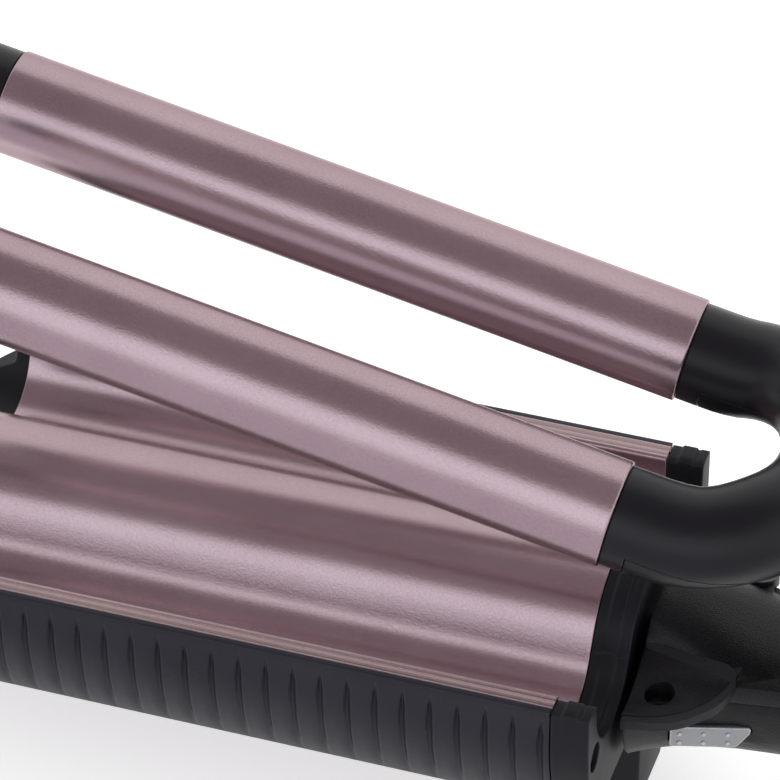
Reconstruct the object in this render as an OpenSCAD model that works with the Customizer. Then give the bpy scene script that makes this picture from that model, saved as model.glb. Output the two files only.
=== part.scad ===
// Hair waver: two hot barrels on a sprung upper arm close into a W-shaped hot plate.
// Frame: X runs from the cool tip to the hinge, Y across the jaw, Z up.
// The origin is the middle of the flat under the keel, which the appliance stands on.

/* [Wave plate] */
// Length of the hot wave plate
plate_len = 131.4; // [120:0.2:140]
// Sheet thickness of the wave plate
plate_t = 1.5; // [1.2:0.1:1.8]
// Distance between the two barrel axes, and between the two channels
barrel_pitch = 50.6; // [49.6:0.1:52]
// Radius of each concave channel
channel_r = 11; // [10.8:0.1:11.4]
// Depth of the channel axes under the lip
channel_drop = 3; // [2.4:0.1:3.6]
// Radius of the hump between the channels
hump_r = 15.5; // [11:0.1:16]
// Rise of the hump above the lip
hump_rise = 3.5; // [2.8:0.1:4]
// Radius of the rolled lip of each channel
lip_r = 0.8; // [0.5:0.1:1.2]

/* [Lower jaw] */
// Width of the flat lip outside each channel
lip_w = 3.2; // [2.8:0.1:4.5]
// Height of the lip over the surface the appliance stands on
lip_h = 49; // [47:0.5:52]
// Height of the side grips
grip_h = 28.2; // [27:0.1:30]
// Straight height at the top of the side grips
grip_straight = 7; // [4:0.5:10]
// How far the side grips curve in at the bottom
grip_tuck = 6.6; // [5:0.2:8]
// Wall of the side grips
grip_t = 2.2; // [2:0.1:2.6]
// Rim of the side grips beside the plate
rim_w = 1.3; // [1:0.1:1.6]
// Spacing of the cooling slots in the side grips
slot_pitch = 5.3; // [4.5:0.1:7]
// Width of a cooling slot at its top
slot_w = 1.9; // [1.4:0.1:2.6]
// Depth of a cooling slot
slot_d = 0.9; // [0.6:0.1:1.2]
// Distance of the slots from the lip
slot_top = 4.3; // [3.5:0.1:6]
// Distance of the last slot from the rear end of the side grips
slot_end = 2.1; // [1.8:0.1:4]
// Width of the keel
keel_w = 17.2; // [16:0.2:20]
// Width of the flat under the keel
keel_flat = 14.8; // [12:0.1:15.2]
// Height over which the keel's sides curve in
keel_round = 1.4; // [1.2:0.1:3]
// Wall of the keel cover
keel_t = 2; // [1.6:0.1:2.4]
// Wall of the jaw frame
frame_t = 2.2; // [1.8:0.1:2.6]
// Number of cross ribs in the jaw frame
frame_ribs = 6; // [5:1:8]

/* [End caps] */
// Length of the front cap's side walls
front_cap_len = 2.8; // [2.5:0.1:5]
// Length of the cool tip ahead of the side walls
tip_len = 22; // [18:0.5:28]
// Length of the rear cap
rear_cap_len = 7.2; // [6.5:0.1:9]
// How far the rear cap's keel block stands behind its sides
keel_shift = 1.2; // [0.8:0.1:1.8]
// Radius of the screw recesses
recess_r = 3; // [2.8:0.1:3.2]
// Radius of the screw shanks
screw_r = 1.3; // [1.2:0.05:1.4]

/* [Barrels] */
// Radius of the hot barrels
barrel_r = 10; // [9.6:0.1:10.2]
// Wall of the hot barrels
barrel_wall = 1.5; // [1.2:0.1:1.7]
// Length of the hot barrels
barrel_len = 137.6; // [125:0.2:145]
// How far the barrels end ahead of the rear cap's face when the jaw is closed
barrel_set = 5.7; // [4.5:0.1:6.5]
// Height of the closed barrels over the channel axes, which leaves room for the hair
hair_lift = 2.6; // [2.2:0.1:3]
// Length of the barrels' tip caps
tip_cap_len = 14; // [10:0.5:18]
// Radius of the rod heaters in the barrels
rod_r = 5; // [4.5:0.1:5.4]

/* [Upper arm] */
// Radius of the yoke's legs
leg_r = 9.4; // [9:0.1:9.6]
// Straight length of the yoke's legs behind the barrels
leg_len = 12.3; // [10:0.1:14]
// Length of the yoke's turn from the legs to its crown
turn_len = 19.9; // [18:0.1:26]
// Where the yoke's underside cover starts behind the barrels
cover_start = 4.5; // [3.5:0.1:5.5]
// Depth of the parting line under the barrel axes
parting_drop = 1; // [0.5:0.1:1.5]
// Half-width of the upper handle
arm_half_w = 14.5; // [13:0.1:16]
// Rise of the yoke's crown over the barrels, which clears the lower handle's hump
yoke_rise = 4.7; // [4.2:0.1:8]
// Length over which the yoke rises
rise_len = 22.5; // [18:0.5:26]
// Distance behind the barrels at which the yoke starts to rise
rise_start = 6.7; // [4:0.1:10]
// Distance from the barrels' rear ends to the hinge when closed
arm_len = 182; // [175:0.5:195]
// How far the upper arm is swung open at rest, in degrees
open_angle = 11.5; // [10:0.1:13]

/* [Lower handle] */
// Gap between the rear cap and the handle
neck_gap = 2; // [1.6:0.1:3]
// Half-width of the handle over its shoulder lobes
handle_front_w = 26.4; // [26:0.1:27.5]
// Half-width of the handle's neck
handle_neck_w = 12.6; // [12:0.1:14]
// Half-width of the handle's grip
handle_grip_w = 14.8; // [14:0.1:16]
// Height of the handle's underside over the standing surface
handle_floor = 18; // [16:0.5:20]
// Height of the handle's top face
handle_top_z = 40.8; // [40:0.1:41]
// Height of the parting line between the handle's shells
handle_parting = 37; // [36.5:0.1:37.4]
// Wall of the handle shells
shell_t = 2.2; // [1.8:0.1:2.4]
// Height of the handle's front hump over its top face
handle_hump = 7.2; // [6:0.1:7.4]
// Length over which the front hump falls back to the top face
hump_len = 34; // [30:0.5:35]
// Half-width of the front hump
hump_w = 11.2; // [10:0.1:12]
// Radius of the shoulder lobes, seen from above
lobe_r = 16.2; // [15:0.1:17]
// Radius of the saddles that the yoke's legs close into
saddle_r = 18.9; // [18:0.1:20]
// Rise of the saddles towards the rear, in degrees
saddle_tilt = 9; // [7:0.5:10]
// Length over which the handle's flared front narrows into the neck
flare_len = 11.5; // [10:0.5:12]

/* [Keys] */
// Length of the side key
key_len = 15; // [13:0.5:17]
// Height of the side key
key_h = 4.7; // [4:0.1:5]
// Travel of the side key
key_travel = 0.8; // [0.6:0.1:1]
// Distance from the jaw to the power button
button_back = 78; // [74:1:90]
// Radius of the power button
button_r = 5; // [4:0.1:6]
// Travel of the power button
button_travel = 0.8; // [0.6:0.1:1]

/* [Hinge and cord inlet] */
// Radius of the hinge pin
pin_r = 2; // [1.8:0.1:2.4]
// Radius of the hinge lugs
lug_r = 8.6; // [8:0.1:9]
// Running clearance round the hinge pin
pin_play = 0.05; // [0.03:0.01:0.08]
// Radius of the cord inlet
cord_r = 2.9; // [2.5:0.1:3.2]
// Length of the cord gland behind the handle
gland_len = 20; // [16:0.5:26]

/* [Hidden] */
$fn = 96;
eps = 0.01;
joint_gap = 0.2;      // visible joint between neighbouring covers of one body
move_gap = 0.3;       // clearance between pieces that move past each other
far = 400;            // beyond the whole appliance

// Wave profile, in the section plane
half_pitch = barrel_pitch/2;
channel_z = lip_h - channel_drop;
hump_climb = hump_rise + channel_drop;
hump_limit = (half_pitch^2 + hump_climb^2 - channel_r^2)/(2*(hump_climb + channel_r));
crest_r = min(hump_r, hump_limit - 0.4);
hump_z = lip_h + hump_rise - crest_r;
flank = atan2(channel_z - hump_z, half_pitch)
      + acos((channel_r + crest_r)/norm([half_pitch, channel_z - hump_z]));
roll_y = half_pitch + sqrt((channel_r + lip_r)^2 - (channel_drop - lip_r)^2);
rim_y = roll_y + lip_w;
jaw_w = 2*(rim_y + rim_w);

// Lower jaw, along X
rear_end_len = rear_cap_len + joint_gap;
keel_len = front_cap_len + keel_shift + plate_len + rear_end_len + keel_shift;
plate_x0 = -keel_len/2 + front_cap_len + keel_shift;
plate_x1 = plate_x0 + plate_len;
jaw_rear = plate_x1 + rear_end_len;
jaw_front = plate_x0 - front_cap_len;
tip_x = jaw_front - tip_len;
nose_r = ((jaw_w/2)^2 + tip_len^2)/(2*tip_len);
belly_z = lip_h - grip_h;
side_z = lip_h - grip_straight;
side_r = ((side_z - belly_z)^2 + grip_tuck^2)/(2*grip_tuck);
keel_side_r = (keel_round^2 + ((keel_w - keel_flat)/2)^2)/(keel_w - keel_flat);
rib_t = 2.5;
rib_step = (plate_len - 2*rib_t)/(frame_ribs - 1);

// Plate heaters and the strips that press them up
heater_w = 12;
heater_t = 3;
heater_end = 4;
heater_z = channel_z - channel_r - plate_t - 0.05 - heater_t;
clamp_t = 0.8;

// Spigot that carries the jaw on the handle
spigot_w = 7.5;
spigot_z0 = 23.5;
spigot_z1 = 34;
spigot_len = 32;

// Upper arm, in its closed place
axis_z = channel_z + hair_lift;
barrel_x1 = jaw_rear - barrel_set;
barrel_x0 = barrel_x1 - barrel_len;
barrel_bore = barrel_r - barrel_wall;
hinge_x = barrel_x1 + arm_len;
arm_under = handle_top_z + 1.4;
hinge_z = handle_top_z + 0.7;
parting_z = axis_z - parting_drop;
bend_x = barrel_x1 + leg_len;
crown_x = bend_x + turn_len;
boss_r = 3.4;
screw_bite = 6;
arm_top_rear = hinge_z + lug_r + 2.8;
arm_x1 = hinge_x + 8;
hinge_clear = lug_r + 0.5;
cover_x1 = hinge_x - lug_r - 17;
plug_r = barrel_bore - 0.15;
plug_len = 12;

// Lower handle
handle_x0 = jaw_rear + neck_gap;
handle_x1 = hinge_x + 16;
lid_x1 = hinge_x - lug_r - 1.2;       // rear end of the handle's top shell
tail_x0 = hinge_x + lug_r + 1.2;      // front end of the bottom shell's closed tail
hollow_x1 = hinge_x - 20;
hump_floor = 26;
neck_end = handle_x0 + 30;             // where the neck starts to widen into the grip
grip_full = handle_x0 + 90;            // where the grip has its full width
lobe_x = 2.5;
lobe_h = 5.5;
shoulder_h = 5;
shoulder_slope = 5.6;
saddle_y = barrel_pitch/2 - 2.1;
saddle_z = axis_z - leg_r - 0.6 + saddle_r;
boss_h = 2.5;
lobe_screw_x = jaw_rear + 7.4;
lobe_screw_y = handle_front_w - 6.7;
lobe_screw_seat = handle_parting - boss_h + 1.2;
lobe_screw_end = handle_parting - shoulder_h + 0.6;

// Side key, turned to follow the neck
key_x = jaw_rear + 9.4;
key_z = lip_h - 18.1 - key_h;
key_yaw = 16.3;
key_y = -18.6;
key_gap = 0.3;
key_t = 4.3;
key_round = 0.7;
key_slant = 2.6;      // how far the lower rear corner is cut back
dot_pitch = 4.5;
dot_row = 2;
flange_t = 0.8;
switch_h = 4;

// Power button
button_x = jaw_rear + button_back;
button_z = 29;
lens_x = button_x - button_r - 7;
lens_r = 1.6;
board_t = 1.6;
board_y = -3;
board_z = handle_floor + shell_t + 0.5;
board_len = 66;
board_h = 13;
button_seat = board_y - 3.4;
button_rim = 1.2;     // how far the button's flange stands out
flange_y = button_seat - button_travel - 1.2;
switch_back = 9.2;    // rear face of the key's switch behind the key's face

// Hinge
lug_in = 3.8;
lug_out = 8;
cheek_in = lug_out + move_gap;
cheek_out = 13.4;
spring_r = 3.2;
spring_w = 4.4;
spring_leg = 13;
wire_r = 0.6;
coils = 4;
washer_t = 0.8;

// Cord gland
gland_r = 6.4;
gland_z = 28;
gland_core = 5;

// ---------------------------------------------------------------- helpers

// Extrudes a section drawn in (Y, Z) from x0 to x1.
module along_x(x0, x1) {
    translate([x0, 0, 0]) rotate([90, 0, 90]) linear_extrude(x1 - x0) children();
}

// Extrudes an outline drawn in (X, Z) across Y, from y0 to y1.
module along_y(y0, y1) {
    translate([0, y1, 0]) rotate([90, 0, 0]) linear_extrude(y1 - y0) children();
}

// A rod or bore along X.
module rod_x(x0, x1, r) {
    translate([x0, 0, 0]) rotate([0, 90, 0]) cylinder(r = r, h = x1 - x0);
}

// A rod or bore along Y, through (x, z).
module rod_y(x, z, y0, y1, r) {
    translate([x, y1, z]) rotate([90, 0, 0]) cylinder(r = r, h = y1 - y0);
}

// A copy on each side of the middle plane.
module both_sides() {
    children();
    mirror([0, 1, 0]) children();
}

// Swings the upper arm from its closed place to its place at rest.
module swung_open() {
    translate([hinge_x, 0, hinge_z]) rotate([0, open_angle, 0])
        translate([-hinge_x, 0, -hinge_z]) children();
}

// Closed solid through a row of rings with equal counts of points.
module loft(rings) {
    n = len(rings[0]);
    m = len(rings);
    polyhedron(
        points = [for (ring = rings) each ring],
        faces = concat(
            [[for (i = [0:n - 1]) i]],
            [for (j = [0:m - 2], i = [0:n - 1]) [j*n + i, (j + 1)*n + i, (j + 1)*n + (i + 1)%n]],
            [for (j = [0:m - 2], i = [0:n - 1]) [j*n + i, (j + 1)*n + (i + 1)%n, j*n + (i + 1)%n]],
            [[for (i = [n - 1:-1:0]) (m - 1)*n + i]]));
}

// Rounded section at x: half-width w, from z0 to z1, squarer with a higher power.
function ring(x, w, z0, z1, power, count = 32) = [
    for (i = [0:count - 1])
        let (a = 360*(i + 0.5)/count, c = cos(a), s = sin(a))
            [x,
             w*sign(c)*abs(c)^(2/power),
             (z0 + z1)/2 + (z1 - z0)/2*sign(s)*abs(s)^(2/power)]];

// Smooth step from 0 to 1 between a and b.
function ease(x, a, b) = let (t = min(max((x - a)/(b - a), 0), 1)) t*t*(3 - 2*t);

// ---------------------------------------------------------------- lower jaw

// Area under the wave surface, lowered by drop, down to floor_z.
module wave_area(drop, floor_z, half_w) {
    r1 = channel_r + drop;
    r2 = crest_r - drop;
    roll = lip_r - drop;
    corner_y = roll > 0 ? roll_y
             : half_pitch + sqrt(r1^2 - (channel_drop - drop)^2);
    lean = atan2(channel_drop - lip_r, roll_y - half_pitch);
    side = concat(
        [[half_w, floor_z], [half_w, lip_h - drop], [corner_y, lip_h - drop]],
        roll > 0 ? [[roll_y, lip_h - lip_r],
                    [half_pitch + r1*cos(lean), channel_z + r1*sin(lean)]] : [],
        [[half_pitch, channel_z],
         [half_pitch - (r1 - eps)*cos(flank), channel_z - (r1 - eps)*sin(flank)],
         [(r2 - eps)*cos(flank), hump_z + (r2 - eps)*sin(flank)],
         [0, hump_z]]);
    difference() {
        polygon(concat(side, [for (i = [len(side) - 2:-1:0]) [-side[i][0], side[i][1]]]));
        for (s = [-1, 1]) translate([s*half_pitch, channel_z]) circle(r1);
    }
    translate([0, hump_z]) circle(r2);
    if (roll > 0) for (s = [-1, 1]) translate([s*roll_y, lip_h - lip_r]) circle(roll);
}

// Section under z whose two sides curve inwards with radius r, moved in by inset.
module curved_sides(half_w, z, r, inset) {
    for (s = [0, 1]) mirror([s, 0]) intersection() {
        translate([0, z - r]) square([half_w, 2*r]);
        if (r > inset) translate([half_w - r, z]) circle(r - inset);
    }
    if (r > inset && half_w > r) translate([r - half_w, z - r + inset])
        square([2*(half_w - r), 2*(r - inset)]);
}

// Outer section of the jaw, moved in by inset, between z0 and z1.
module jaw_area(inset, z0, z1) {
    intersection() {
        translate([-jaw_w/2 + inset, z0]) square([jaw_w - 2*inset, z1 - z0]);
        union() {
            translate([-jaw_w/2 + inset, side_z]) square([jaw_w - 2*inset, lip_h]);
            curved_sides(jaw_w/2, side_z, side_r, inset);
        }
    }
}

// Section of the keel, moved in by inset, up to z1.
module keel_area(inset, z1) {
    intersection() {
        translate([-keel_w/2 + inset, inset]) square([keel_w - 2*inset, z1 - inset]);
        union() {
            translate([-keel_w/2 + inset, keel_round]) square([keel_w - 2*inset, lip_h]);
            curved_sides(keel_w/2, keel_round, keel_side_r, inset);
        }
    }
}

module wave_plate() {
    color("rosybrown") along_x(plate_x0, plate_x1) difference() {
        wave_area(0, belly_z, rim_y - 0.1);
        wave_area(plate_t, belly_z - 1, jaw_w);
    }
}

// Carrier under the plate: side walls, cross ribs and the spigot into the handle.
module jaw_frame() {
    inset = grip_t + joint_gap;
    bottom = belly_z + keel_t + joint_gap;
    color("dimgray") difference() {
        union() {
            along_x(plate_x0 + joint_gap, plate_x1) difference() {
                jaw_area(inset, bottom, lip_h - plate_t);
                jaw_area(inset + frame_t, bottom - 1, lip_h);
                wave_gap();
            }
            for (i = [0:frame_ribs - 1])
                along_x(plate_x0 + joint_gap + i*rib_step, plate_x0 + joint_gap + i*rib_step + rib_t)
                    difference() {
                        jaw_area(inset, bottom, lip_h + hump_rise - plate_t);
                        wave_gap();
                        translate([rim_y - rim_w - 0.6, lip_h - plate_t]) square([jaw_w, far]);
                        translate([rim_w + 0.6 - rim_y - jaw_w, lip_h - plate_t]) square([jaw_w, far]);
                        translate([-spigot_w, bottom - 1])
                            square([2*spigot_w, 4]);
                    }
            along_x(plate_x1 - rib_t, handle_x0 + spigot_len)
                translate([-spigot_w, spigot_z0]) square([2*spigot_w, spigot_z1 - spigot_z0]);
        }
        along_x(plate_x1 - rib_t - 1, far)
            translate([-spigot_w + frame_t, spigot_z0 + frame_t])
                square([2*(spigot_w - frame_t), spigot_z1 - spigot_z0 - 2*frame_t]);
        both_sides() translate([0, half_pitch, 0]) {
            along_x(plate_x0 + heater_end, plate_x1 - heater_end)
                translate([-heater_w/2 - joint_gap, heater_z - clamp_t - joint_gap])
                    square([heater_w + 2*joint_gap, lip_h]);
        }
        cap_screw_axes() rod_x(plate_x1 - 8, plate_x1 + 1, screw_r);
    }
}

// Space that the jaw frame leaves free: the wave plate and the air under its curves.
module wave_gap() {
    difference() {
        translate([-rim_y + rim_w + 0.6, belly_z]) square([2*(rim_y - rim_w - 0.6), 2*lip_h]);
        wave_area(plate_t + 0.25, belly_z - 1, jaw_w);
    }
}

// Side grip on the +Y side, with its row of cooling slots.
module grip() {
    x0 = plate_x0 + joint_gap/2;
    x1 = plate_x1 - joint_gap/2;
    slot_count = floor((x1 - x0 - 2*slot_end)/slot_pitch);
    difference() {
        along_x(x0, x1) intersection() {
            difference() {
                jaw_area(0, belly_z, lip_h);
                jaw_area(grip_t, belly_z - 1, lip_h - plate_t - 0.3);
                translate([-rim_y, lip_h - plate_t - 0.31]) square([2*rim_y, far]);
            }
            translate([0, 0]) square([jaw_w, 2*lip_h]);
        }
        intersection() {
            along_x(x0 - 1, x1 + 1) difference() {
                translate([0, belly_z - 1]) square([jaw_w, grip_h + 2]);
                jaw_area(slot_d, belly_z - 2, lip_h + 2);
            }
            for (i = [0:slot_count - 1]) translate([x1 - slot_end - i*slot_pitch, 0, 0])
                along_y(0, jaw_w) slot_outline();
        }
    }
}

// Slot in (X, Z): round at the top, tapering a little towards the bottom.
module slot_outline() {
    top = lip_h - slot_top - slot_w/2;
    translate([0, top]) circle(slot_w/2);
    polygon([[-slot_w/2, top], [slot_w/2, top],
             [slot_w*0.32, belly_z - 1], [-slot_w*0.32, belly_z - 1]]);
}

module near_grip() { color("darkslategray") mirror([0, 1, 0]) grip(); }
module far_grip() { color("darkslategray") grip(); }

// Cool tip: the wave section runs out into a nose that drops forward.
module lower_tip() {
    top = lip_h + hump_rise + 2;
    wall_z = lip_h - 9;
    nose_z = belly_z + 7;
    color("dimgray") intersection() {
        union() {
            along_x(tip_x, plate_x0 - joint_gap) intersection() {
                jaw_area(0, belly_z, top);
                wave_area(0.3, belly_z - 1, jaw_w);
            }
            along_x(-keel_len/2, plate_x0 - joint_gap) keel_area(0, belly_z + 1);
        }
        // side view, with a small round in the inner corner
        along_y(-jaw_w, jaw_w) polygon([
            [plate_x0, -1], [plate_x0, top], [jaw_front, top], [jaw_front, wall_z + 1.4],
            [jaw_front - 0.4, wall_z + 0.5], [jaw_front - 1.4, wall_z], [jaw_front - 4, wall_z - 1],
            [tip_x, nose_z + 3], [tip_x, nose_z - 3],
            [-keel_len/2 - 1, belly_z], [-keel_len/2, belly_z - 1], [-keel_len/2, -1]]);
        // plan: round nose
        translate([0, 0, -1]) linear_extrude(2*lip_h) union() {
            translate([jaw_front, -jaw_w/2]) square([plate_x0 - jaw_front, jaw_w]);
            intersection() {
                translate([jaw_front - far, -jaw_w/2]) square([far + eps, jaw_w]);
                translate([jaw_front + nose_r - tip_len, 0]) circle(nose_r);
            }
        }
    }
}

// Where the screws that hold the rear cap sit, on both sides.
module cap_screw_axes() {
    both_sides() translate([0, jaw_w/2 - 4.8, lip_h - 12.7]) children();
}

module rear_cap() {
    x0 = plate_x1 + joint_gap;
    lip = 0.35;
    color("dimgray") difference() {
        union() {
            // base band, raised strip, groove and rear ridge, each following the wave
            wave_slice(x0, jaw_rear, 0.6);
            wave_slice(x0, x0 + 0.27*rear_cap_len, lip);
            wave_slice(x0 + 0.27*rear_cap_len, x0 + 0.68*rear_cap_len, -0.15);
            wave_slice(x0 + 0.76*rear_cap_len, jaw_rear, 0.1);
            along_x(x0 + keel_shift, jaw_rear + keel_shift) keel_area(0, belly_z + 6);
            along_x(x0, jaw_rear) keel_area(0, belly_z + 6);
        }
        along_x(x0 - 1, far) translate([-spigot_w - joint_gap, spigot_z0 - joint_gap])
            square([2*(spigot_w + joint_gap), spigot_z1 - spigot_z0 + 2*joint_gap]);
        cap_screw_axes() rod_x(x0 - 1, far, screw_r + 0.2);
        cap_screw_axes() rod_x(jaw_rear - 2.2, far, recess_r);
    }
}

// Slice of the jaw's section with its top lowered by drop.
module wave_slice(x0, x1, drop) {
    along_x(x0, x1) intersection() {
        jaw_area(0, belly_z, lip_h + hump_rise + 1);
        wave_area(drop, belly_z - 1, jaw_w);
    }
}

module keel_cover() {
    x0 = plate_x0;
    x1 = plate_x1;
    color("rosybrown") along_x(x0, x1) {
        difference() {
            jaw_area(grip_t + joint_gap, belly_z, belly_z + keel_t);
            keel_area(keel_t, belly_z + keel_t + 1);
        }
        difference() {
            keel_area(0, belly_z + keel_t);
            keel_area(keel_t, belly_z + keel_t + 1);
        }
    }
}

module plate_heaters() {
    color("ivory") both_sides()
        translate([plate_x0 + heater_end + joint_gap, half_pitch - heater_w/2, heater_z])
            cube([plate_len - 2*heater_end - 2*joint_gap, heater_w, heater_t]);
}

module heater_clamps() {
    color("silver") both_sides()
        translate([plate_x0 + heater_end + joint_gap, half_pitch - heater_w/2 + 1, heater_z - clamp_t])
            cube([plate_len - 2*heater_end - 2*joint_gap, heater_w - 2, clamp_t]);
}

// Thermostat under the hump, clipped to a cross rib.
module thermostat() {
    x = plate_x0 + joint_gap + 2*rib_step + rib_t;
    color("ivory") translate([x, -4, hump_z - 4]) cube([9, 8, 4.5]);
}

module cap_screws() {
    color("silver") cap_screw_axes() {
        rod_x(plate_x1 - 7, jaw_rear - 2.2, screw_r);
        rod_x(jaw_rear - 2.2, jaw_rear - 0.8, recess_r - 0.4);
    }
}

// ---------------------------------------------------------------- lower handle

// Half-width of the handle at x: a flared front, a neck and a fuller grip.
function handle_w(x) = handle_neck_w
    + (handle_front_w - 0.9 - handle_neck_w)*exp(-(x - handle_x0)/flare_len)
    + (handle_grip_w - handle_neck_w)*ease(x, neck_end, grip_full);

// Top of the front hump at x.
function hump_top(x) = handle_top_z + handle_hump*(1 - ease(x, handle_x0, handle_x0 + hump_len));

// Body of the handle, moved in by inset, with its sections closer together at the flare.
module handle_body(inset) {
    x0 = handle_x0 + inset;
    x1 = handle_x1 - inset;
    loft([for (t = [0:0.0625:1])
        let (x = x0 + (x1 - x0)*t*t)
        ring(x, handle_w(x) - inset, handle_floor + inset,
             2*handle_parting - handle_floor - inset, 2.4)]);
}

// Everything between two heights, as wide as the appliance.
module layer(x0, x1, z0, z1) {
    translate([x0, -jaw_w, z0]) cube([x1 - x0, 2*jaw_w, z1 - z0]);
}

// Top of the handle: flat face with a crowned front hump and two shoulder lobes.
module handle_top_body() {
    difference() {
        union() {
            intersection() {
                handle_body(0);
                layer(handle_x0 - 1, lid_x1, handle_parting, handle_top_z);
            }
            // front hump, falling back to the top face
            intersection() {
                loft([for (t = [0:0.1:1])
                    let (x = handle_x0 + t*(hump_len + 4))
                        ring(x, hump_w + (handle_w(x) - hump_w)*ease(x, handle_x0 + 4, handle_x0 + 20),
                             hump_floor, hump_top(x), 3)]);
                layer(handle_x0, far, handle_parting, far);
            }
            // shoulder lobes
            translate([0, 0, handle_parting]) linear_extrude(lobe_h) lobe_plan(0);
        }
        // saddles that the yoke's legs close into
        both_sides() translate([handle_x0, saddle_y, saddle_z]) rotate([0, -saddle_tilt, 0])
            rod_x(-8, hump_len, saddle_r);
    }
}

// Plan of the two lobes, moved in by inset: rounds that fade into the neck.
module lobe_plan(inset) {
    x = handle_x0 + lobe_x;
    y = handle_front_w - lobe_r;
    intersection() {
        for (s = [-1, 1]) translate([x, s*y]) circle(lobe_r - inset);
        translate([handle_x0, -jaw_w/2]) square([far, jaw_w]);
    }
    translate([handle_x0, -handle_front_w + inset]) square([lobe_x, 2*(handle_front_w - inset)]);
    translate([handle_x0, -y]) square([lobe_x + lobe_r - inset, 2*y]);
}

module lobe_screw_axes() {
    both_sides() translate([lobe_screw_x, lobe_screw_y, 0]) children();
}

module handle_top() {
    color("dimgray") difference() {
        union() {
            handle_top_body();
            lobe_screw_axes() translate([0, 0, handle_parting - boss_h])
                cylinder(r = recess_r + 0.3, h = boss_h + 1);
        }
        // hollow under the lid
        intersection() {
            handle_body(shell_t);
            layer(handle_x0 + hump_len, hollow_x1, 0, handle_top_z - shell_t);
        }
        lobe_screw_axes() {
            translate([0, 0, handle_floor]) cylinder(r = screw_r + 0.2, h = far);
            translate([0, 0, lobe_screw_seat]) cylinder(r = recess_r - 0.2, h = far);
        }
        // groove for the spring's lower leg
        translate([hinge_x - spring_leg - 0.6, 0, hinge_z - spring_r - wire_r - 0.2])
            cube([far, spring_w/2 + wire_r + 0.3, far]);
    }
}

module handle_bottom() {
    gap = joint_gap/2;
    color("dimgray") difference() {
        union() {
            difference() {
                intersection() {
                    handle_body(0);
                    union() {
                        layer(handle_x0 - 1, far, -1, handle_parting - gap);
                        layer(tail_x0, far, -1, handle_top_z);
                    }
                }
                intersection() {
                    handle_body(shell_t);
                    layer(handle_x0 - 1, far, -1, handle_top_z - shell_t);
                }
            }
            shoulders(gap);
            // cradle for the jaw's spigot
            intersection() {
                for (x = [handle_x0 + 6, handle_x0 + spigot_len - 8])
                    layer(x, x + 3, handle_floor, spigot_z0 - gap);
                handle_body(0.5);
            }
            // cheeks that hold the hinge pin
            both_sides() {
                rod_y(hinge_x, hinge_z, cheek_in, cheek_out, lug_r);
                translate([hinge_x - lug_r, cheek_in, handle_floor + 2.5])
                    cube([2*lug_r, cheek_out - cheek_in, hinge_z - handle_floor - 2.5]);
            }
        }
        rod_y(hinge_x, hinge_z, -jaw_w, jaw_w, pin_r);
        lobe_screw_axes() {
            translate([0, 0, lobe_screw_end]) cylinder(r = screw_r, h = far);
            translate([0, 0, handle_parting - boss_h - gap]) cylinder(r = recess_r + 0.4, h = far);
        }
        // front opening for the spigot
        along_x(handle_x0 - 1, handle_x0 + shell_t + 1)
            translate([-spigot_w - joint_gap, spigot_z0 - joint_gap])
                square([2*(spigot_w + joint_gap), spigot_z1 - spigot_z0 + 2*joint_gap]);
        key_place() {
            along_y(-5, 7) key_outline(key_gap);
            translate([0.3, key_t - 0.3, -1.2]) cube([key_len - 3, 12, key_h + 2.4]);
        }
        rod_y(button_x, button_z, -jaw_w, 0, button_r + key_gap);
        rod_y(button_x, button_z, flange_y - move_gap, 0, button_r + button_rim + move_gap);
        rod_y(lens_x, button_z, -jaw_w, 0, lens_r);
        translate([0, 0, gland_z]) rod_x(handle_x1 - 8, far, gland_core + 0.05);
    }
}

// Shoulders under the two lobes, narrowing downwards, which the lobe screws bite into.
module shoulders(gap) {
    difference() {
        hull() {
            translate([0, 0, handle_parting - gap - eps]) linear_extrude(eps) lobe_plan(0.9);
            translate([0, 0, handle_parting - shoulder_h])
                linear_extrude(eps) lobe_plan(0.9 + shoulder_slope);
        }
        translate([0, -lobe_screw_y + 7, 0]) cube([far, 2*(lobe_screw_y - 7), far]);
    }
}

module lobe_screws() {
    color("silver") lobe_screw_axes() {
        translate([0, 0, lobe_screw_end + 0.1])
            cylinder(r = screw_r, h = lobe_screw_seat - lobe_screw_end);
        translate([0, 0, lobe_screw_seat]) cylinder(r = recess_r - 0.5, h = 1.2);
    }
}

// ---------------------------------------------------------------- keys and electrics

// Frame of the side key: its front lower corner, turned with the neck.
module key_place() {
    translate([key_x, key_y, key_z]) rotate([0, 0, key_yaw]) children();
}

// Face of the side key in (X, Z), grown by grow: rounded, with its lower rear corner cut back.
module key_outline(grow) {
    difference() {
        union() {
            translate([key_round, -grow]) square([key_len - 2*key_round, key_h + 2*grow]);
            translate([-grow, key_round]) square([key_len + 2*grow, key_h - 2*key_round]);
            for (x = [key_round, key_len - key_round], z = [key_round, key_h - key_round])
                translate([x, z]) circle(key_round + grow);
        }
        polygon([[key_len + grow, key_h - 1.2], [key_len - key_slant + grow, -grow],
                 [key_len - key_slant + grow, -far], [key_len + far, -far],
                 [key_len + far, key_h - 1.2]]);
    }
}

module side_key() {
    color("silver") key_place() {
        along_y(0, key_t + eps) key_outline(0);
        // flange that keeps the key in its opening
        translate([0.6, key_t, -0.8]) cube([key_len - 3.6, flange_t, key_h + 1.6]);
        // six round dots to feel
        for (i = [0:2], j = [0:1])
            translate([1.8 + i*dot_pitch, 0.2, 1 + j*dot_row]) sphere(r = 0.5, $fn = 24);
    }
}

module control_board() {
    color("darkgreen") translate([handle_x0 + spigot_len + 3, board_y, board_z])
        cube([board_len, board_t, board_h]);
}

module key_switch() {
    y0 = key_t + flange_t + key_travel + 0.1;
    color("black") key_place() translate([1.5, y0, key_h/2 - switch_h/2])
        cube([6, switch_back - y0, switch_h]);
}

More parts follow.
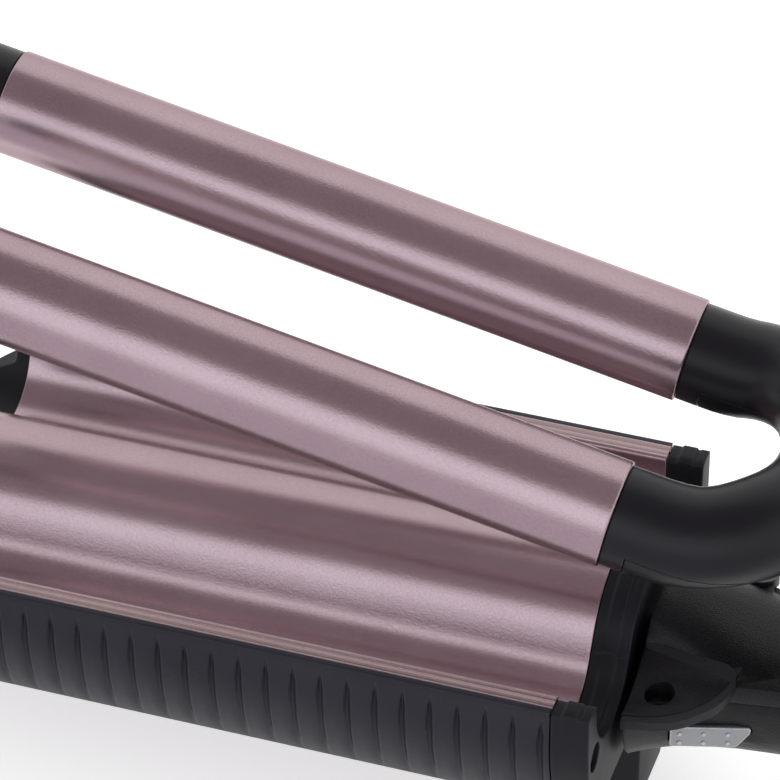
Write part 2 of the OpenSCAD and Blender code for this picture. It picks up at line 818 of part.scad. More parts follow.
module button_switch() {
    color("black") translate([button_x - 3, button_seat, button_z - 3]) cube([6, 3.4, 6]);
}

module indicator_lens() {
    y = -handle_w(lens_x);
    color("white") rod_y(lens_x, button_z, y + 0.4, y + 5, lens_r - 0.05);
}

// Round button with a flange that keeps it in its opening.
module power_button() {
    color("silver") {
        rod_y(button_x, button_z, -handle_w(button_x) - 0.6, flange_y + 0.9, button_r);
        rod_y(button_x, button_z, flange_y, flange_y + 0.8, button_r + button_rim);
    }
}

// ---------------------------------------------------------------- hinge and cord inlet

module hinge_pin() {
    color("silver") rod_y(hinge_x, hinge_z, -cheek_out, cheek_out, pin_r);
}

module hinge_washers() {
    color("silver") both_sides() difference() {
        rod_y(hinge_x, hinge_z, 2.9, 2.9 + washer_t, 4.4);
        rod_y(hinge_x, hinge_z, 2, 5, pin_r + pin_play);
    }
}

// Torsion spring: a helix of wire round the pin with a straight leg at each end.
module torsion_spring() {
    steps = 16;
    last = (coils + 0.5)*steps;
    leg_x = hinge_x - spring_leg;
    path = concat(
        [[leg_x, -spring_w/2, hinge_z + spring_r]],
        [for (i = [0:last]) let (a = 360*i/steps)
            [hinge_x + spring_r*sin(a), spring_w*(i/last - 0.5), hinge_z + spring_r*cos(a)]],
        [[leg_x, spring_w/2, hinge_z - spring_r]]);
    color("silver") wire(path, wire_r);
}

// Round wire along a row of points: one ring of eight corners at each.
module wire(path, r) {
    m = len(path);
    loft([for (j = [0:m - 1])
        let (d = path[min(j + 1, m - 1)] - path[max(j - 1, 0)],
             t = d/norm(d),
             side = [0, 1, 0] - t*(t*[0, 1, 0]),
             u = side/norm(side),
             v = cross(t, u))
            [for (i = [0:7]) path[j] + r*(cos(45*i)*u + sin(45*i)*v)]]);
}

// Cord gland: turns in the handle's rear wall, with its bore open for the cord.
module cord_gland() {
    color("dimgray") translate([0, 0, gland_z]) difference() {
        union() {
            rod_x(handle_x1 - shell_t - 2.3, handle_x1 - shell_t - 0.3, gland_r);
            rod_x(handle_x1 - shell_t - 1, handle_x1 + 1, gland_core);
            translate([handle_x1 + 0.3, 0, 0]) rotate([0, 90, 0]) gland_sleeve();
        }
        rod_x(0, far, cord_r);
    }
}

// Tapered sleeve with grooves.
module gland_sleeve() {
    rotate_extrude() {
        difference() {
            polygon([[0, 0], [gland_r, 0], [gland_r, 3], [cord_r + 1.4, gland_len],
                     [0, gland_len]]);
            for (i = [1:4]) translate([cord_r + 1.2, 1.5 + i*gland_len/5.6])
                square([gland_r, 1.2]);
        }
    }
}

// ---------------------------------------------------------------- upper arm

module barrel() {
    color("rosybrown") difference() {
        translate([barrel_x0, half_pitch, axis_z]) rotate([0, 90, 0]) rotate_extrude() difference() {
            translate([barrel_bore, 0]) square([barrel_wall, barrel_len]);
            translate([barrel_r, 0]) circle(0.5);
            translate([barrel_r, barrel_len]) circle(0.3);
        }
    }
}

module far_barrel() { swung_open() barrel(); }
module near_barrel() { swung_open() mirror([0, 1, 0]) barrel(); }

module tip_cap() {
    r = barrel_r - 0.4;
    dome = 6;
    color("dimgray") translate([barrel_x0, half_pitch, axis_z]) rotate([0, -90, 0]) rotate_extrude()
        difference() {
            union() {
                translate([0, joint_gap]) square([r, tip_cap_len - dome]);
                translate([0, -plug_len]) square([plug_r, plug_len + 1]);
                intersection() {
                    translate([0, tip_cap_len - dome - 1]) square([r, dome + 1 + joint_gap]);
                    union() {
                        translate([r - dome, tip_cap_len - dome + joint_gap]) circle(dome);
                        square([r - dome, tip_cap_len + joint_gap]);
                    }
                }
            }
            translate([-eps, -plug_len - 1]) square([rod_r + 0.3, plug_len - 2]);
            translate([-r, -far]) square([r, 2*far]);
        }
}

module far_tip_cap() { swung_open() tip_cap(); }
module near_tip_cap() { swung_open() mirror([0, 1, 0]) tip_cap(); }

module rod_heaters() {
    color("ivory") swung_open() both_sides()
        translate([0, half_pitch, axis_z])
            rod_x(barrel_x0 + plug_len - 6, barrel_x1 - plug_len + 6, rod_r);
}

// Rise of the yoke's tube at x, and half-width, underside and top of the upper handle.
function rise(x) = yoke_rise*ease(x, barrel_x1 + rise_start, barrel_x1 + rise_start + rise_len);
function arm_w(x) = arm_half_w + 9*(1 - ease(x, crown_x, crown_x + 38));
function arm_bottom(x) = arm_under
    + (axis_z + yoke_rise - leg_r - arm_under)*(1 - ease(x, crown_x + 14, hinge_x - 70));
function arm_top(x) = arm_top_rear
    + (axis_z + yoke_rise + leg_r - arm_top_rear)*(1 - ease(x, crown_x - 8, arm_x1));

// Body of the upper handle, moved in by inset.
module arm_handle(inset) {
    x0 = crown_x + inset;
    x1 = arm_x1 - inset;
    loft([for (t = [0:0.0625:1])
        let (x = x0 + (x1 - x0)*t)
        ring(x, arm_w(x) - inset, arm_bottom(x) + inset, arm_top(x) - inset, 3)]);
}

// Ring of the yoke's tube round (x, y, z), facing a degrees round the turn.
function tube_ring(x, y, z, a) = [
    for (i = [0:31]) let (t = 360*(i + 0.5)/32)
        [x - leg_r*cos(t)*cos(a), y - leg_r*cos(t)*sin(a), z + leg_r*sin(t)]];

// The yoke's tube: along one leg, round the turn while it rises, and along the other leg.
module yoke_tube() {
    x0 = barrel_x1 + joint_gap;
    leg_xs = [for (t = [0, 0.4, 0.6, 0.8]) x0 + t*(bend_x - x0)];
    loft(concat(
        [for (i = [0:3]) tube_ring(leg_xs[i], -half_pitch, axis_z + rise(leg_xs[i]), -90)],
        [for (a = [-90:7.5:90])
            let (x = bend_x + turn_len*cos(a))
                tube_ring(x, half_pitch*sin(a), axis_z + rise(x),
                          atan2(turn_len*sin(a), half_pitch*cos(a)))],
        [for (i = [3:-1:0]) tube_ring(leg_xs[i], half_pitch, axis_z + rise(leg_xs[i]), 90)]));
}

// Outside of the whole yoke and handle.
module arm_body() {
    yoke_tube();
    arm_handle(0);
}

// Hollow of the upper handle, without the bosses for the cover screws.
module arm_hollow() {
    difference() {
        intersection() {
            arm_handle(shell_t);
            layer(crown_x + 6, cover_x1 - 2, 0, far);
        }
        cover_screw_axes() cylinder(r = boss_r, h = far);
    }
}

// Side view of the shell's share: all of it before and behind the cover, the upper part between.
module shell_share(gap) {
    along_y(-jaw_w, jaw_w) polygon([
        [barrel_x1 - 1, 0], [barrel_x1 + cover_start - gap, 0],
        [barrel_x1 + cover_start - gap, parting_z + gap], [cover_x1 + gap, parting_z + gap],
        [cover_x1 + gap, 0], [hinge_x + far, 0], [hinge_x + far, far], [barrel_x1 - 1, far]]);
}

module arm_shell() {
    color("black") swung_open() difference() {
        union() {
            difference() {
                intersection() {
                    arm_body();
                    shell_share(0);
                }
                // hood that clears the hinge
                rod_y(hinge_x, hinge_z, -jaw_w, jaw_w, hinge_clear);
            }
            both_sides() translate([0, half_pitch, axis_z])
                rod_x(barrel_x1 - plug_len, barrel_x1 + 2, plug_r);
            // hinge lugs
            both_sides() {
                rod_y(hinge_x, hinge_z, lug_in, lug_out, lug_r);
                translate([hinge_x - 12, lug_in, arm_under + 0.5])
                    cube([12, lug_out - lug_in, hinge_z + lug_r - arm_under]);
            }
        }
        both_sides() translate([0, half_pitch, axis_z])
            rod_x(barrel_x1 - plug_len - 1, barrel_x1 - 3, rod_r + 0.3);
        rod_y(hinge_x, hinge_z, -jaw_w, jaw_w, pin_r + pin_play);
        arm_hollow();
        // room for the spring
        rod_y(hinge_x, hinge_z, -lug_in, lug_in, lug_r + 1);
        translate([hinge_x - spring_leg - 3, -lug_in, 0])
            cube([spring_leg + 3, 2*lug_in, hinge_z + spring_r + wire_r + move_gap]);
        cover_screw_axes() cylinder(r = screw_r, h = parting_z + screw_bite);
    }
}

module arm_cover() {
    color("black") swung_open() difference() {
        intersection() {
            arm_body();
            along_y(-jaw_w, jaw_w) polygon([
                [barrel_x1 + cover_start + joint_gap, 0],
                [barrel_x1 + cover_start + joint_gap, parting_z - joint_gap/2],
                [cover_x1 - joint_gap, parting_z - joint_gap/2], [cover_x1 - joint_gap, 0]]);
        }
        arm_hollow();
        cover_screw_axes() cylinder(r = screw_r + 0.2, h = far);
        cover_screw_seats(0) translate([0, 0, -9]) cylinder(r = recess_r - 0.2, h = 10);
    }
}

function cover_screw_xs() = [crown_x + 34, hinge_x - 62];

module cover_screw_axes() {
    for (x = cover_screw_xs()) translate([x, 0, 0]) children();
}

// Where the cover screws' heads sit, raised by lift.
module cover_screw_seats(lift) {
    for (x = cover_screw_xs()) translate([x, 0, arm_bottom(x) + lift]) children();
}

module cover_screws() {
    color("silver") swung_open() {
        cover_screw_seats(1) translate([0, 0, -0.8]) cylinder(r = recess_r - 0.5, h = 0.8);
        for (x = cover_screw_xs()) translate([x, 0, arm_bottom(x) + 0.9])
            cylinder(r = screw_r, h = parting_z + screw_bite - 0.3 - arm_bottom(x) - 0.9);
    }
}

wave_plate();
jaw_frame();
near_grip();
far_grip();
lower_tip();
rear_cap();
keel_cover();
plate_heaters();
heater_clamps();
thermostat();
cap_screws();
handle_top();
handle_bottom();
lobe_screws();
control_board();
key_switch();
button_switch();
indicator_lens();
hinge_pin();
hinge_washers();
torsion_spring();
side_key();
power_button();
cord_gland();
near_barrel();
far_barrel();
near_tip_cap();
far_tip_cap();
rod_heaters();
arm_shell();
arm_cover();
cover_screws();
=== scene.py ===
"""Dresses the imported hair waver: finishes for every solid, finer visible pieces, and a plain studio."""
import logging
import math
from dataclasses import dataclass
from enum import Enum
from typing import Iterable, Optional, Sequence, Union

import bmesh
import bpy
from mathutils import Matrix, Vector


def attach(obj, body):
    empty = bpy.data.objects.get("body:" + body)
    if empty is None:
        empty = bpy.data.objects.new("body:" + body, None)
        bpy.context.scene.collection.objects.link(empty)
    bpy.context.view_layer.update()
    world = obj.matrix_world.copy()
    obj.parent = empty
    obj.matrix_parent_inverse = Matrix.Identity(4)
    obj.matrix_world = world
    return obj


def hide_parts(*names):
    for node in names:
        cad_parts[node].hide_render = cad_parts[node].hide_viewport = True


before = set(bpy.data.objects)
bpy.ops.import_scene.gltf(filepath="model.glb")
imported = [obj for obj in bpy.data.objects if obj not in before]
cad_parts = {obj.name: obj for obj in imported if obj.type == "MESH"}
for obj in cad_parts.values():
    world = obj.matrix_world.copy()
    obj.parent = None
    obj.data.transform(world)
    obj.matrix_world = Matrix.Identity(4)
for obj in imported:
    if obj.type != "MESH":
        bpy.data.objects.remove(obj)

LOG = logging.getLogger("waver")
MM = 0.001
FULL_TURN = 2 * math.pi
SAME = 1e-7                 # lengths that differ by less are equal, in metres
MERGE = 1e-6                # points of a new piece that lie closer become one
WELD = 2e-6                 # the same for the solids, whose triangles are loose
SHARP = math.radians(32)    # past this angle a solid's edge stays sharp

Number = Union[int, float]
Point = tuple[float, float, float]
Colour = tuple[float, float, float]
Pairs = tuple[tuple[float, float], ...]
Term = Union["Value", Number]


class Side(Enum):
    """The two sides of the middle plane."""

    NEAR = -1
    FAR = 1

    @property
    def word(self) -> str:
        """The side's name, as the nodes spell it."""
        return self.name.lower()


class Body(Enum):
    """The bodies that new pieces ride on."""

    LOWER = "lower_arm"
    UPPER = "upper_arm"
    KEY = "side_key_body"


# Shader maths


class Value:
    """A shader socket that takes part in Python arithmetic."""

    def __init__(self, graph: "Graph", socket: bpy.types.NodeSocket) -> None:
        """Wraps an output socket of a graph."""
        self.graph = graph
        self.socket = socket

    def _maths(self, operation: str, *terms: Term) -> "Value":
        """Adds a Math node over terms, in order, and hands back its result."""
        inputs = dict(enumerate(terms))
        return self.graph.node("ShaderNodeMath", {"operation": operation}, inputs)

    def __add__(self, other: Term) -> "Value":
        """self + other."""
        return self._maths("ADD", self, other)

    __radd__ = __add__

    def __sub__(self, other: Term) -> "Value":
        """self - other."""
        return self._maths("SUBTRACT", self, other)

    def __rsub__(self, other: Term) -> "Value":
        """other - self."""
        return self._maths("SUBTRACT", other, self)

    def __mul__(self, other: Term) -> "Value":
        """self * other."""
        return self._maths("MULTIPLY", self, other)

    def size(self) -> "Value":
        """The value without its sign."""
        return self._maths("ABSOLUTE", self)

    def wave(self) -> "Value":
        """The sine of the value."""
        return self._maths("SINE", self)

    def clamped(self) -> "Value":
        """The value held between 0 and 1."""
        return self.graph.node("ShaderNodeClamp", {}, {"Value": self})


Feed = Union[Term, Sequence[float]]


class Graph:
    """The node graph of one material."""

    def __init__(self, tree: bpy.types.NodeTree) -> None:
        """Empties a node tree, so that it can be filled."""
        self.tree = tree
        self.tree.nodes.clear()

    def node(self, kind: str, settings: dict, inputs: dict, output: Union[int, str] = 0) -> Value:
        """Adds a node.

        Args:
            kind: The node's type.
            settings: Its settings by name.
            inputs: Values or links by the sockets' names or numbers.
            output: The output to hand back.

        Returns:
            The chosen output.
        """
        node = self.tree.nodes.new(kind)
        for name, value in settings.items():
            setattr(node, name, value)
        for name, value in inputs.items():
            if isinstance(value, Value):
                self.tree.links.new(value.socket, node.inputs[name])
            elif isinstance(value, Sequence) and len(value) == 3 and node.inputs[name].type == "RGBA":
                node.inputs[name].default_value = (*value, 1.0)
            else:
                node.inputs[name].default_value = value
        return Value(self, node.outputs[output] if node.outputs else None)

    def place(self) -> Value:
        """Object coordinates."""
        return self.node("ShaderNodeTexCoord", {}, {}, "Object")

    def noise(self, size: float, detail: float = 2.0, roughness: float = 0.5) -> Value:
        """Noise from 0 to 1, whose grains are about size metres wide."""
        return self.node("ShaderNodeTexNoise", {"noise_dimensions": "3D"},
                         {"Vector": self.place(), "Scale": 1 / size, "Detail": detail,
                          "Roughness": roughness})

    def cells(self, size: float) -> Value:
        """Distance to the nearest cell centre, about 0 to 1, for cells about size metres wide."""
        return self.node("ShaderNodeTexVoronoi", {"feature": "SMOOTH_F1"},
                         {"Vector": self.place(), "Scale": 1 / size, "Smoothness": 0.6})

    def mixed(self, share: Feed, first: Feed, second: Feed) -> Value:
        """The colour between two colours, where share is how much there is of the second."""
        # The Mix node's colour sockets share their names with others, so they go by number.
        return self.node("ShaderNodeMix", {"data_type": "RGBA"}, {0: share, 6: first, 7: second}, 2)

    def softened(self, radius: float) -> Value:
        """The surface's normal, turned smoothly within a radius of its edges."""
        return self.node("ShaderNodeBevel", {"samples": 4}, {"Radius": radius})

    def bump(self, height: Value, depth: float, edge: float) -> Value:
        """A normal from a height, whose range is depth metres, over edges softened in a radius."""
        return self.node("ShaderNodeBump", {},
                         {"Height": height, "Distance": depth, "Normal": self.softened(edge)})

    def edges(self, radius: float, gain: float) -> Value:
        """Finds the sharp edges of a surface.

        Args:
            radius: How far from an edge the surface counts as near it, in metres.
            gain: How fast the mask fills.

        Returns:
            1 at the edges, 0 away from them.
        """
        plain = self.node("ShaderNodeNewGeometry", {}, {}, "Normal")
        match = self.node("ShaderNodeVectorMath", {"operation": "DOT_PRODUCT"},
                          {0: self.softened(radius), 1: plain}, "Value")
        return ((1 - match) * gain).clamped()


# Finishes


def blank_material(name: str) -> tuple[bpy.types.Material, Graph]:
    """Makes a material with an empty node graph.

    Args:
        name: The material's name.

    Returns:
        The material and its graph.
    """
    material = bpy.data.materials.new(name)
    material.use_nodes = True
    return material, Graph(material.node_tree)


@dataclass(frozen=True)
class Finish:
    """A surface finish: a base colour that varies in patches, gloss, a fine grain and, where asked, a
    painted highlight along its sharp edges.

    Colours are linear. Sizes and depths are in metres.
    """

    name: str
    slot: str
    light: Colour
    dark: Colour
    rough: float
    rough_spread: float = 0.06
    metal: float = 0.0
    coat: float = 0.0
    coat_rough: float = 0.1
    specular: float = 0.5
    grain: float = 0.4 * MM
    depth: float = 0.02 * MM
    cell: float = 0.0
    cell_depth: float = 0.0
    patch: float = 18 * MM
    patch_gain: float = 1.6
    edge: float = 0.3 * MM
    speckle: float = 0.8
    # Painted edge highlight: how much lighter colour is mixed in along sharp edges, how fast, and which
    # colour.
    edge_highlight: float = 0.0
    edge_highlight_gain: float = 9.0
    edge_highlight_colour: Colour = (0.05, 0.05, 0.055)
    glance: Colour = (1.0, 1.0, 1.0)

    def surface(self, graph: Graph) -> dict:
        """Works out what varies over the surface.

        Args:
            graph: The material's graph.

        Returns:
            The shader's inputs by name.
        """
        patches = graph.noise(self.patch, detail=3.0)
        grain = graph.noise(self.grain, roughness=0.6)
        share = ((patches - 0.5) * self.patch_gain + (grain - 0.5) * self.speckle + 0.5).clamped()
        height = grain
        depth = self.depth
        if self.cell:
            height = grain * (self.depth / self.cell_depth) + graph.cells(self.cell)
            depth = self.cell_depth
        relief = self.relief(graph)
        if relief:
            height = height + relief * (1 / depth)
        colour = self.tinted(graph, graph.mixed(share, self.dark, self.light))
        # Painted highlight: a lighter colour mixed in along the sharp edges, where light would catch
        # them.
        if self.edge_highlight:
            edge_highlight = graph.edges(self.edge, self.edge_highlight_gain) * self.edge_highlight
            colour = graph.mixed(edge_highlight, colour, self.edge_highlight_colour)
        return {
            "Base Color": colour,
            "Roughness": (self.rough + (patches - 0.5) * self.rough_spread).clamped(),
            "Normal": graph.bump(height, depth, self.edge),
        }

    def relief(self, graph: Graph) -> Optional[Value]:
        """Raised lines on top of the grain, in metres; none here."""
        return None

    def tinted(self, graph: Graph, colour: Value) -> Value:
        """The base colour where it stays as it is."""
        return colour

    def material(self) -> bpy.types.Material:
        """The finish's material, made once."""
        found = bpy.data.materials.get(self.name)
        if found:
            return found
        material, graph = blank_material(self.name)
        inputs = {"Metallic": self.metal, "Coat Weight": self.coat,
                  "Coat Roughness": self.coat_rough, "Specular IOR Level": self.specular,
                  "Specular Tint": self.glance}
        inputs.update(self.surface(graph))
        shader = graph.node("ShaderNodeBsdfPrincipled", {}, inputs)
        graph.node("ShaderNodeOutputMaterial", {}, {"Surface": shader})
        return material


@dataclass(frozen=True)
class LippedFinish(Finish):
    """A coat with fine drawn lines and a darker tone along its two long lips."""

    lip_start: float = 36.9 * MM
    lip_full: float = 37.3 * MM
    line_pitch: float = 1.7 * MM
    line_height: float = 0.07 * MM
    lip_colour: Colour = (0.30, 0.225, 0.215)
    lip_share: float = 0.6
    line_share: float = 0.35

    def out(self, graph: Graph) -> Value:
        """Distance from the middle plane."""
        return graph.node("ShaderNodeSeparateXYZ", {}, {"Vector": graph.place()}, "Y").size()

    def lip(self, graph: Graph) -> Value:
        """1 on the lips, 0 elsewhere."""
        return graph.node("ShaderNodeMapRange", {"interpolation_type": "SMOOTHSTEP"},
                          {"Value": self.out(graph), "From Min": self.lip_start,
                           "From Max": self.lip_full})

    def lines(self, graph: Graph) -> Value:
        """Fine lines along the lips, from -1 to 1."""
        return ((self.out(graph) - self.lip_start) * (FULL_TURN / self.line_pitch)).wave()

    def relief(self, graph: Graph) -> Optional[Value]:
        """The lines' height."""
        return self.lip(graph) * self.lines(graph) * self.line_height

    def tinted(self, graph: Graph, colour: Value) -> Value:
        """The base colour with the lips browner between the lines."""
        share = self.lip(graph) * (self.lines(graph) * self.line_share + self.lip_share)
        return graph.mixed(share.clamped(), colour, self.lip_colour)


ROSE_COAT = {"slot": "rose_coat", "light": (0.505, 0.385, 0.41), "dark": (0.435, 0.32, 0.348),
             "rough": 0.25, "metal": 0.9, "coat": 0.22, "coat_rough": 0.16,
             "glance": (0.55, 0.47, 0.47)}
ROSE = Finish("rose_ceramic", **ROSE_COAT, grain=0.34 * MM, depth=0.036 * MM, speckle=2.4)
ROSE_PLATE = LippedFinish("rose_plate", **ROSE_COAT, speckle=2.2)
ROSE_COVER = Finish("rose_lacquer", "rose_cover", (0.20, 0.105, 0.14), (0.17, 0.085, 0.115), 0.35,
                    metal=0.2, depth=0.006 * MM)
GRIP = Finish("grip_rubber", "grip_black", (0.029, 0.0285, 0.039), (0.018, 0.0175, 0.025), 0.42,
              specular=0.24, grain=0.5 * MM, depth=0.03 * MM)
# The lighter grey mixed in along the cap's and tip's sharp edges is a painted highlight.
CAP = Finish("cap_plastic", "satin_black", (0.014, 0.0142, 0.018), (0.010, 0.0102, 0.0135), 0.5,
             specular=0.2, grain=0.5 * MM, edge=0.6 * MM, edge_highlight=0.7)
# The pad is the handle's grained plastic with a lighter base colour and lighter edges: painted highlight.
PAD_PAINTED_HIGHLIGHT = Finish("pad_plastic_painted_highlight", "textured_black", (0.017, 0.0172, 0.021), (0.0085, 0.0087, 0.011), 0.46,
             specular=0.34, grain=0.24 * MM, depth=0.05 * MM, cell=0.34 * MM, cell_depth=0.04 * MM,
             edge=0.2 * MM, speckle=3.0, edge_highlight=0.35)
SATIN = Finish("satin_plastic", "satin_black", (0.0088, 0.0086, 0.0115), (0.006, 0.006, 0.0080), 0.36,
               specular=0.3, grain=0.5 * MM, edge=0.45 * MM)
TEXTURED = Finish("grained_plastic", "textured_black", (0.012, 0.012, 0.0148),
                  (0.0022, 0.0022, 0.0028), 0.4, specular=0.26, grain=0.24 * MM, depth=0.05 * MM,
                  cell=0.34 * MM, cell_depth=0.045 * MM, edge=0.5 * MM, speckle=3.0)
GLAND = Finish("gland_rubber", "gland_black", (0.012, 0.012, 0.012), (0.008, 0.008, 0.008), 0.6,
               specular=0.25)
# The near-white rim mixed in along the key's and power button's sharp edges is a painted highlight.
SILVER = Finish("silver_paint", "silver", (0.37, 0.38, 0.40), (0.31, 0.32, 0.335), 0.3,
                metal=0.5, coat=0.6, grain=0.25 * MM, depth=0.012 * MM, edge=0.5 * MM, edge_highlight=0.9,
                edge_highlight_gain=28.0, edge_highlight_colour=(0.86, 0.87, 0.89))
STEEL = Finish("plain_steel", "steel", (0.56, 0.56, 0.58), (0.44, 0.44, 0.46), 0.32, metal=1.0,
               grain=0.3 * MM, depth=0.006 * MM)
DARK_STEEL = Finish("dark_screw_steel", "steel", (0.05, 0.05, 0.052), (0.03, 0.03, 0.032), 0.35,
                    metal=0.8, grain=0.3 * MM, depth=0.006 * MM)
# The raised dots are real; their near-white paint, far lighter than the key's silver, is a painted
# highlight.
DOT = Finish("dot_painted_highlight", "silver", (0.72, 0.74, 0.76), (0.62, 0.64, 0.66), 0.2, metal=0.3, coat=0.5,
             grain=0.3 * MM, depth=0.004 * MM)
CERAMIC = Finish("bare_ceramic", "ceramic", (0.80, 0.76, 0.68), (0.70, 0.66, 0.58), 0.7)
BOARD = Finish("solder_mask", "board", (0.02, 0.14, 0.05), (0.01, 0.10, 0.04), 0.35, coat=0.4)
SWITCH = Finish("switch_plastic", "switch_black", (0.03, 0.03, 0.03), (0.02, 0.02, 0.02), 0.5)
LENS = Finish("clear_lens", "lens", (0.80, 0.80, 0.82), (0.72, 0.72, 0.75), 0.12, coat=0.8,
              coat_rough=0.03)


# Shapes


class Shape:
    """A mesh in the making, in metres."""

    def __init__(self) -> None:
        """Starts with an empty mesh."""
        self.bm = bmesh.new()

    def trace(self, points: Iterable[Sequence[float]], closed: bool = False) -> list:
        """Draws a chain of edges.

        Args:
            points: The corners, in order.
            closed: Whether the chain ends where it starts.

        Returns:
            The corners' vertices.
        """
        verts = [self.bm.verts.new(p) for p in points]
        pairs = list(zip(verts, verts[1:]))
        if closed:
            pairs.append((verts[-1], verts[0]))
        for pair in pairs:
            self.bm.edges.new(pair)
        return verts

    def rounded(self, verts: Sequence, width: float, segments: int = 4) -> None:
        """Rounds corners of a chain, over a width along each edge."""
        bmesh.ops.bevel(self.bm, geom=list(verts), offset=width, offset_type="OFFSET",
                        segments=segments, profile=0.5, affect="VERTICES", material=-1,
                        clamp_overlap=True)

    def turned(self, axis: Sequence[float], centre: Sequence[float], steps: int = 96) -> None:
        """Spins everything drawn so far into a closed round.

        Args:
            axis: The axis's direction.
            centre: A point on the axis.
            steps: The steps of the full turn.
        """
        geometry = self.bm.verts[:] + self.bm.edges[:]
        bmesh.ops.spin(self.bm, geom=geometry, cent=centre, axis=axis, angle=FULL_TURN,
                       steps=steps, use_merge=True)
        self.merge()

    def merge(self, within: float = MERGE) -> None:
        """Makes one point of those that lie close together, in the same order every time."""
        ordered = sorted(self.bm.verts, key=lambda vert: vert.co[:])
        bmesh.ops.remove_doubles(self.bm, verts=ordered, dist=within)

    def filled(self) -> None:
        """Fills the outline drawn so far, and leaves the outlines inside it open."""
        bmesh.ops.triangle_fill(self.bm, edges=self.bm.edges[:], use_beauty=True, use_dissolve=False)

    def extruded(self, way: Sequence[float]) -> set:
        """Gives every face drawn so far a thickness.

        Args:
            way: How far and which way its copies move.

        Returns:
            The copies.
        """
        made = bmesh.ops.extrude_face_region(self.bm, geom=self.bm.faces[:])["geom"]
        verts = [part for part in made if isinstance(part, bmesh.types.BMVert)]
        bmesh.ops.translate(self.bm, verts=verts, vec=way)
        return {part for part in made if isinstance(part, bmesh.types.BMFace)}

    def bordering(self, faces: set) -> list:
        """The edges between some faces and the rest."""
        return [edge for edge in self.bm.edges
                if sum(face in faces for face in edge.link_faces) == 1]

    def softened(self, edges: Sequence, width: float, segments: int) -> None:
        """Rounds edges, over a width on each side."""
        bmesh.ops.bevel(self.bm, geom=edges, offset=width, offset_type="OFFSET", segments=segments,
                        profile=0.5, affect="EDGES", material=-1, clamp_overlap=True)

    def moved(self, matrix: Matrix) -> None:
        """Moves everything by a matrix."""
        bmesh.ops.transform(self.bm, matrix=matrix, verts=self.bm.verts[:])

    def cut(self, point: Sequence[float], normal: Sequence[float]) -> None:
        """Cuts every face along the plane through a point, and keeps both halves."""
        geometry = self.bm.verts[:] + self.bm.edges[:] + self.bm.faces[:]
        bmesh.ops.bisect_plane(self.bm, geom=geometry, dist=SAME, plane_co=point, plane_no=normal)

    def join(self, other: "Shape") -> None:
        """Takes in another shape, which is used up.

        Args:
            other: The shape to take in.
        """
        mesh = bpy.data.meshes.new("joined")
        other.bm.to_mesh(mesh)
        other.bm.free()
        self.bm.from_mesh(mesh)
        bpy.data.meshes.remove(mesh)

    def piece(self, name: str, sharp: float = 35.0) -> bpy.types.Object:
        """Makes the object, which uses up the shape.

        Args:
            name: The piece's name.
            sharp: The angle in degrees past which an edge stays sharp.

        Returns:
            The object, at the origin.
        """
        bmesh.ops.recalc_face_normals(self.bm, faces=self.bm.faces[:])
        mesh = bpy.data.meshes.new(name)
        self.bm.to_mesh(mesh)
        self.bm.free()
        mesh.shade_smooth()
        mesh.set_sharp_from_angle(angle=math.radians(sharp))
        item = bpy.data.objects.new(name, mesh)
        bpy.context.scene.collection.objects.link(item)
        return item


def publish(item: bpy.types.Object, body: Body, finish: Finish, *replaced: str) -> None:
    """Gives a new piece its finish and its body, and hides the nodes that it replaces.

    Args:
        item: The piece.
        body: The body it rides on.
        finish: Its finish.
        replaced: The nodes it replaces.
    """
    item.data.materials.append(finish.material())
    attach(item, body.value)
    if replaced:
        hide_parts(*replaced)
    LOG.info("%s rides on %s in %s", item.name, body.value, finish.name)


def dress(finish: Finish, *nodes: str, edge: float = 0.0) -> None:
    """Gives solids a finish and smooth shading between their sharp edges.

    Args:
        finish: The finish.
        nodes: The solids' nodes.
        edge: The width that their edges are rounded over, in metres.
    """
    for node in nodes:
        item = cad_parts[node]
        item.data.materials.clear()
        item.data.materials.append(finish.material())
        item.data.shade_smooth()
        item.modifiers.new("weld", "WELD").merge_threshold = WELD
        if edge:
            bevel = item.modifiers.new("edges", "BEVEL")
            bevel.width = edge
            bevel.segments = 2
            bevel.limit_method = "ANGLE"
            bevel.angle_limit = SHARP
        item.modifiers.new("split", "EDGE_SPLIT").split_angle = SHARP
        LOG.info("%s is dressed in %s", node, finish.name)


def arc(middle: tuple[float, float], radius: float, start: float, end: float,
        steps: int) -> list[tuple[float, float]]:
    """Points along an arc about a middle, from one angle to another."""
    angles = [start + (end - start) * k / steps for k in range(steps + 1)]
    return [(middle[0] + radius * math.cos(a), middle[1] + radius * math.sin(a)) for a in angles]


@dataclass(frozen=True)
class Screw:
    """A slotted pan-head screw that stands on its seat with its head up."""

    head: float
    head_height: float
    shank: float
    length: float
    round_edge: float = 0.35 * MM
    slot_half: float = 0.3 * MM
    slot_depth: float = 0.6 * MM
    slot_floor: float = 0.3 * MM
    slot_slope: float = 1.15

    def shape(self, turn: float) -> Shape:
        """Builds the screw, its seat at the origin.

        Args:
            turn: How far its slot is turned.

        Returns:
            The screw.
        """
        shape = Shape()
        top = self.head_height
        stations = [(0.0, top), (self.head, top), (self.head, 0.0), (self.shank, 0.0),
                    (self.shank, -self.length), (0.0, -self.length)]
        corners = shape.trace([(r, 0.0, z) for r, z in stations])
        shape.rounded(corners[1:2], self.round_edge, segments=3)
        shape.turned((0, 0, 1), (0, 0, 0), steps=40)
        for offset in (-self.slot_slope, -1.0, 1.0, self.slot_slope):
            shape.cut((self.slot_half * offset, 0, 0), (1, 0, 0))
        inside = self.slot_half * (1 + self.slot_slope) / 2
        for vert in shape.bm.verts:
            if vert.co.z > top / 2 and abs(vert.co.x) < inside:
                vert.co.z = max(vert.co.z - self.slot_depth, self.slot_floor)
        shape.moved(Matrix.Rotation(turn, 4, "Z"))
        return shape


# Sub-assemblies


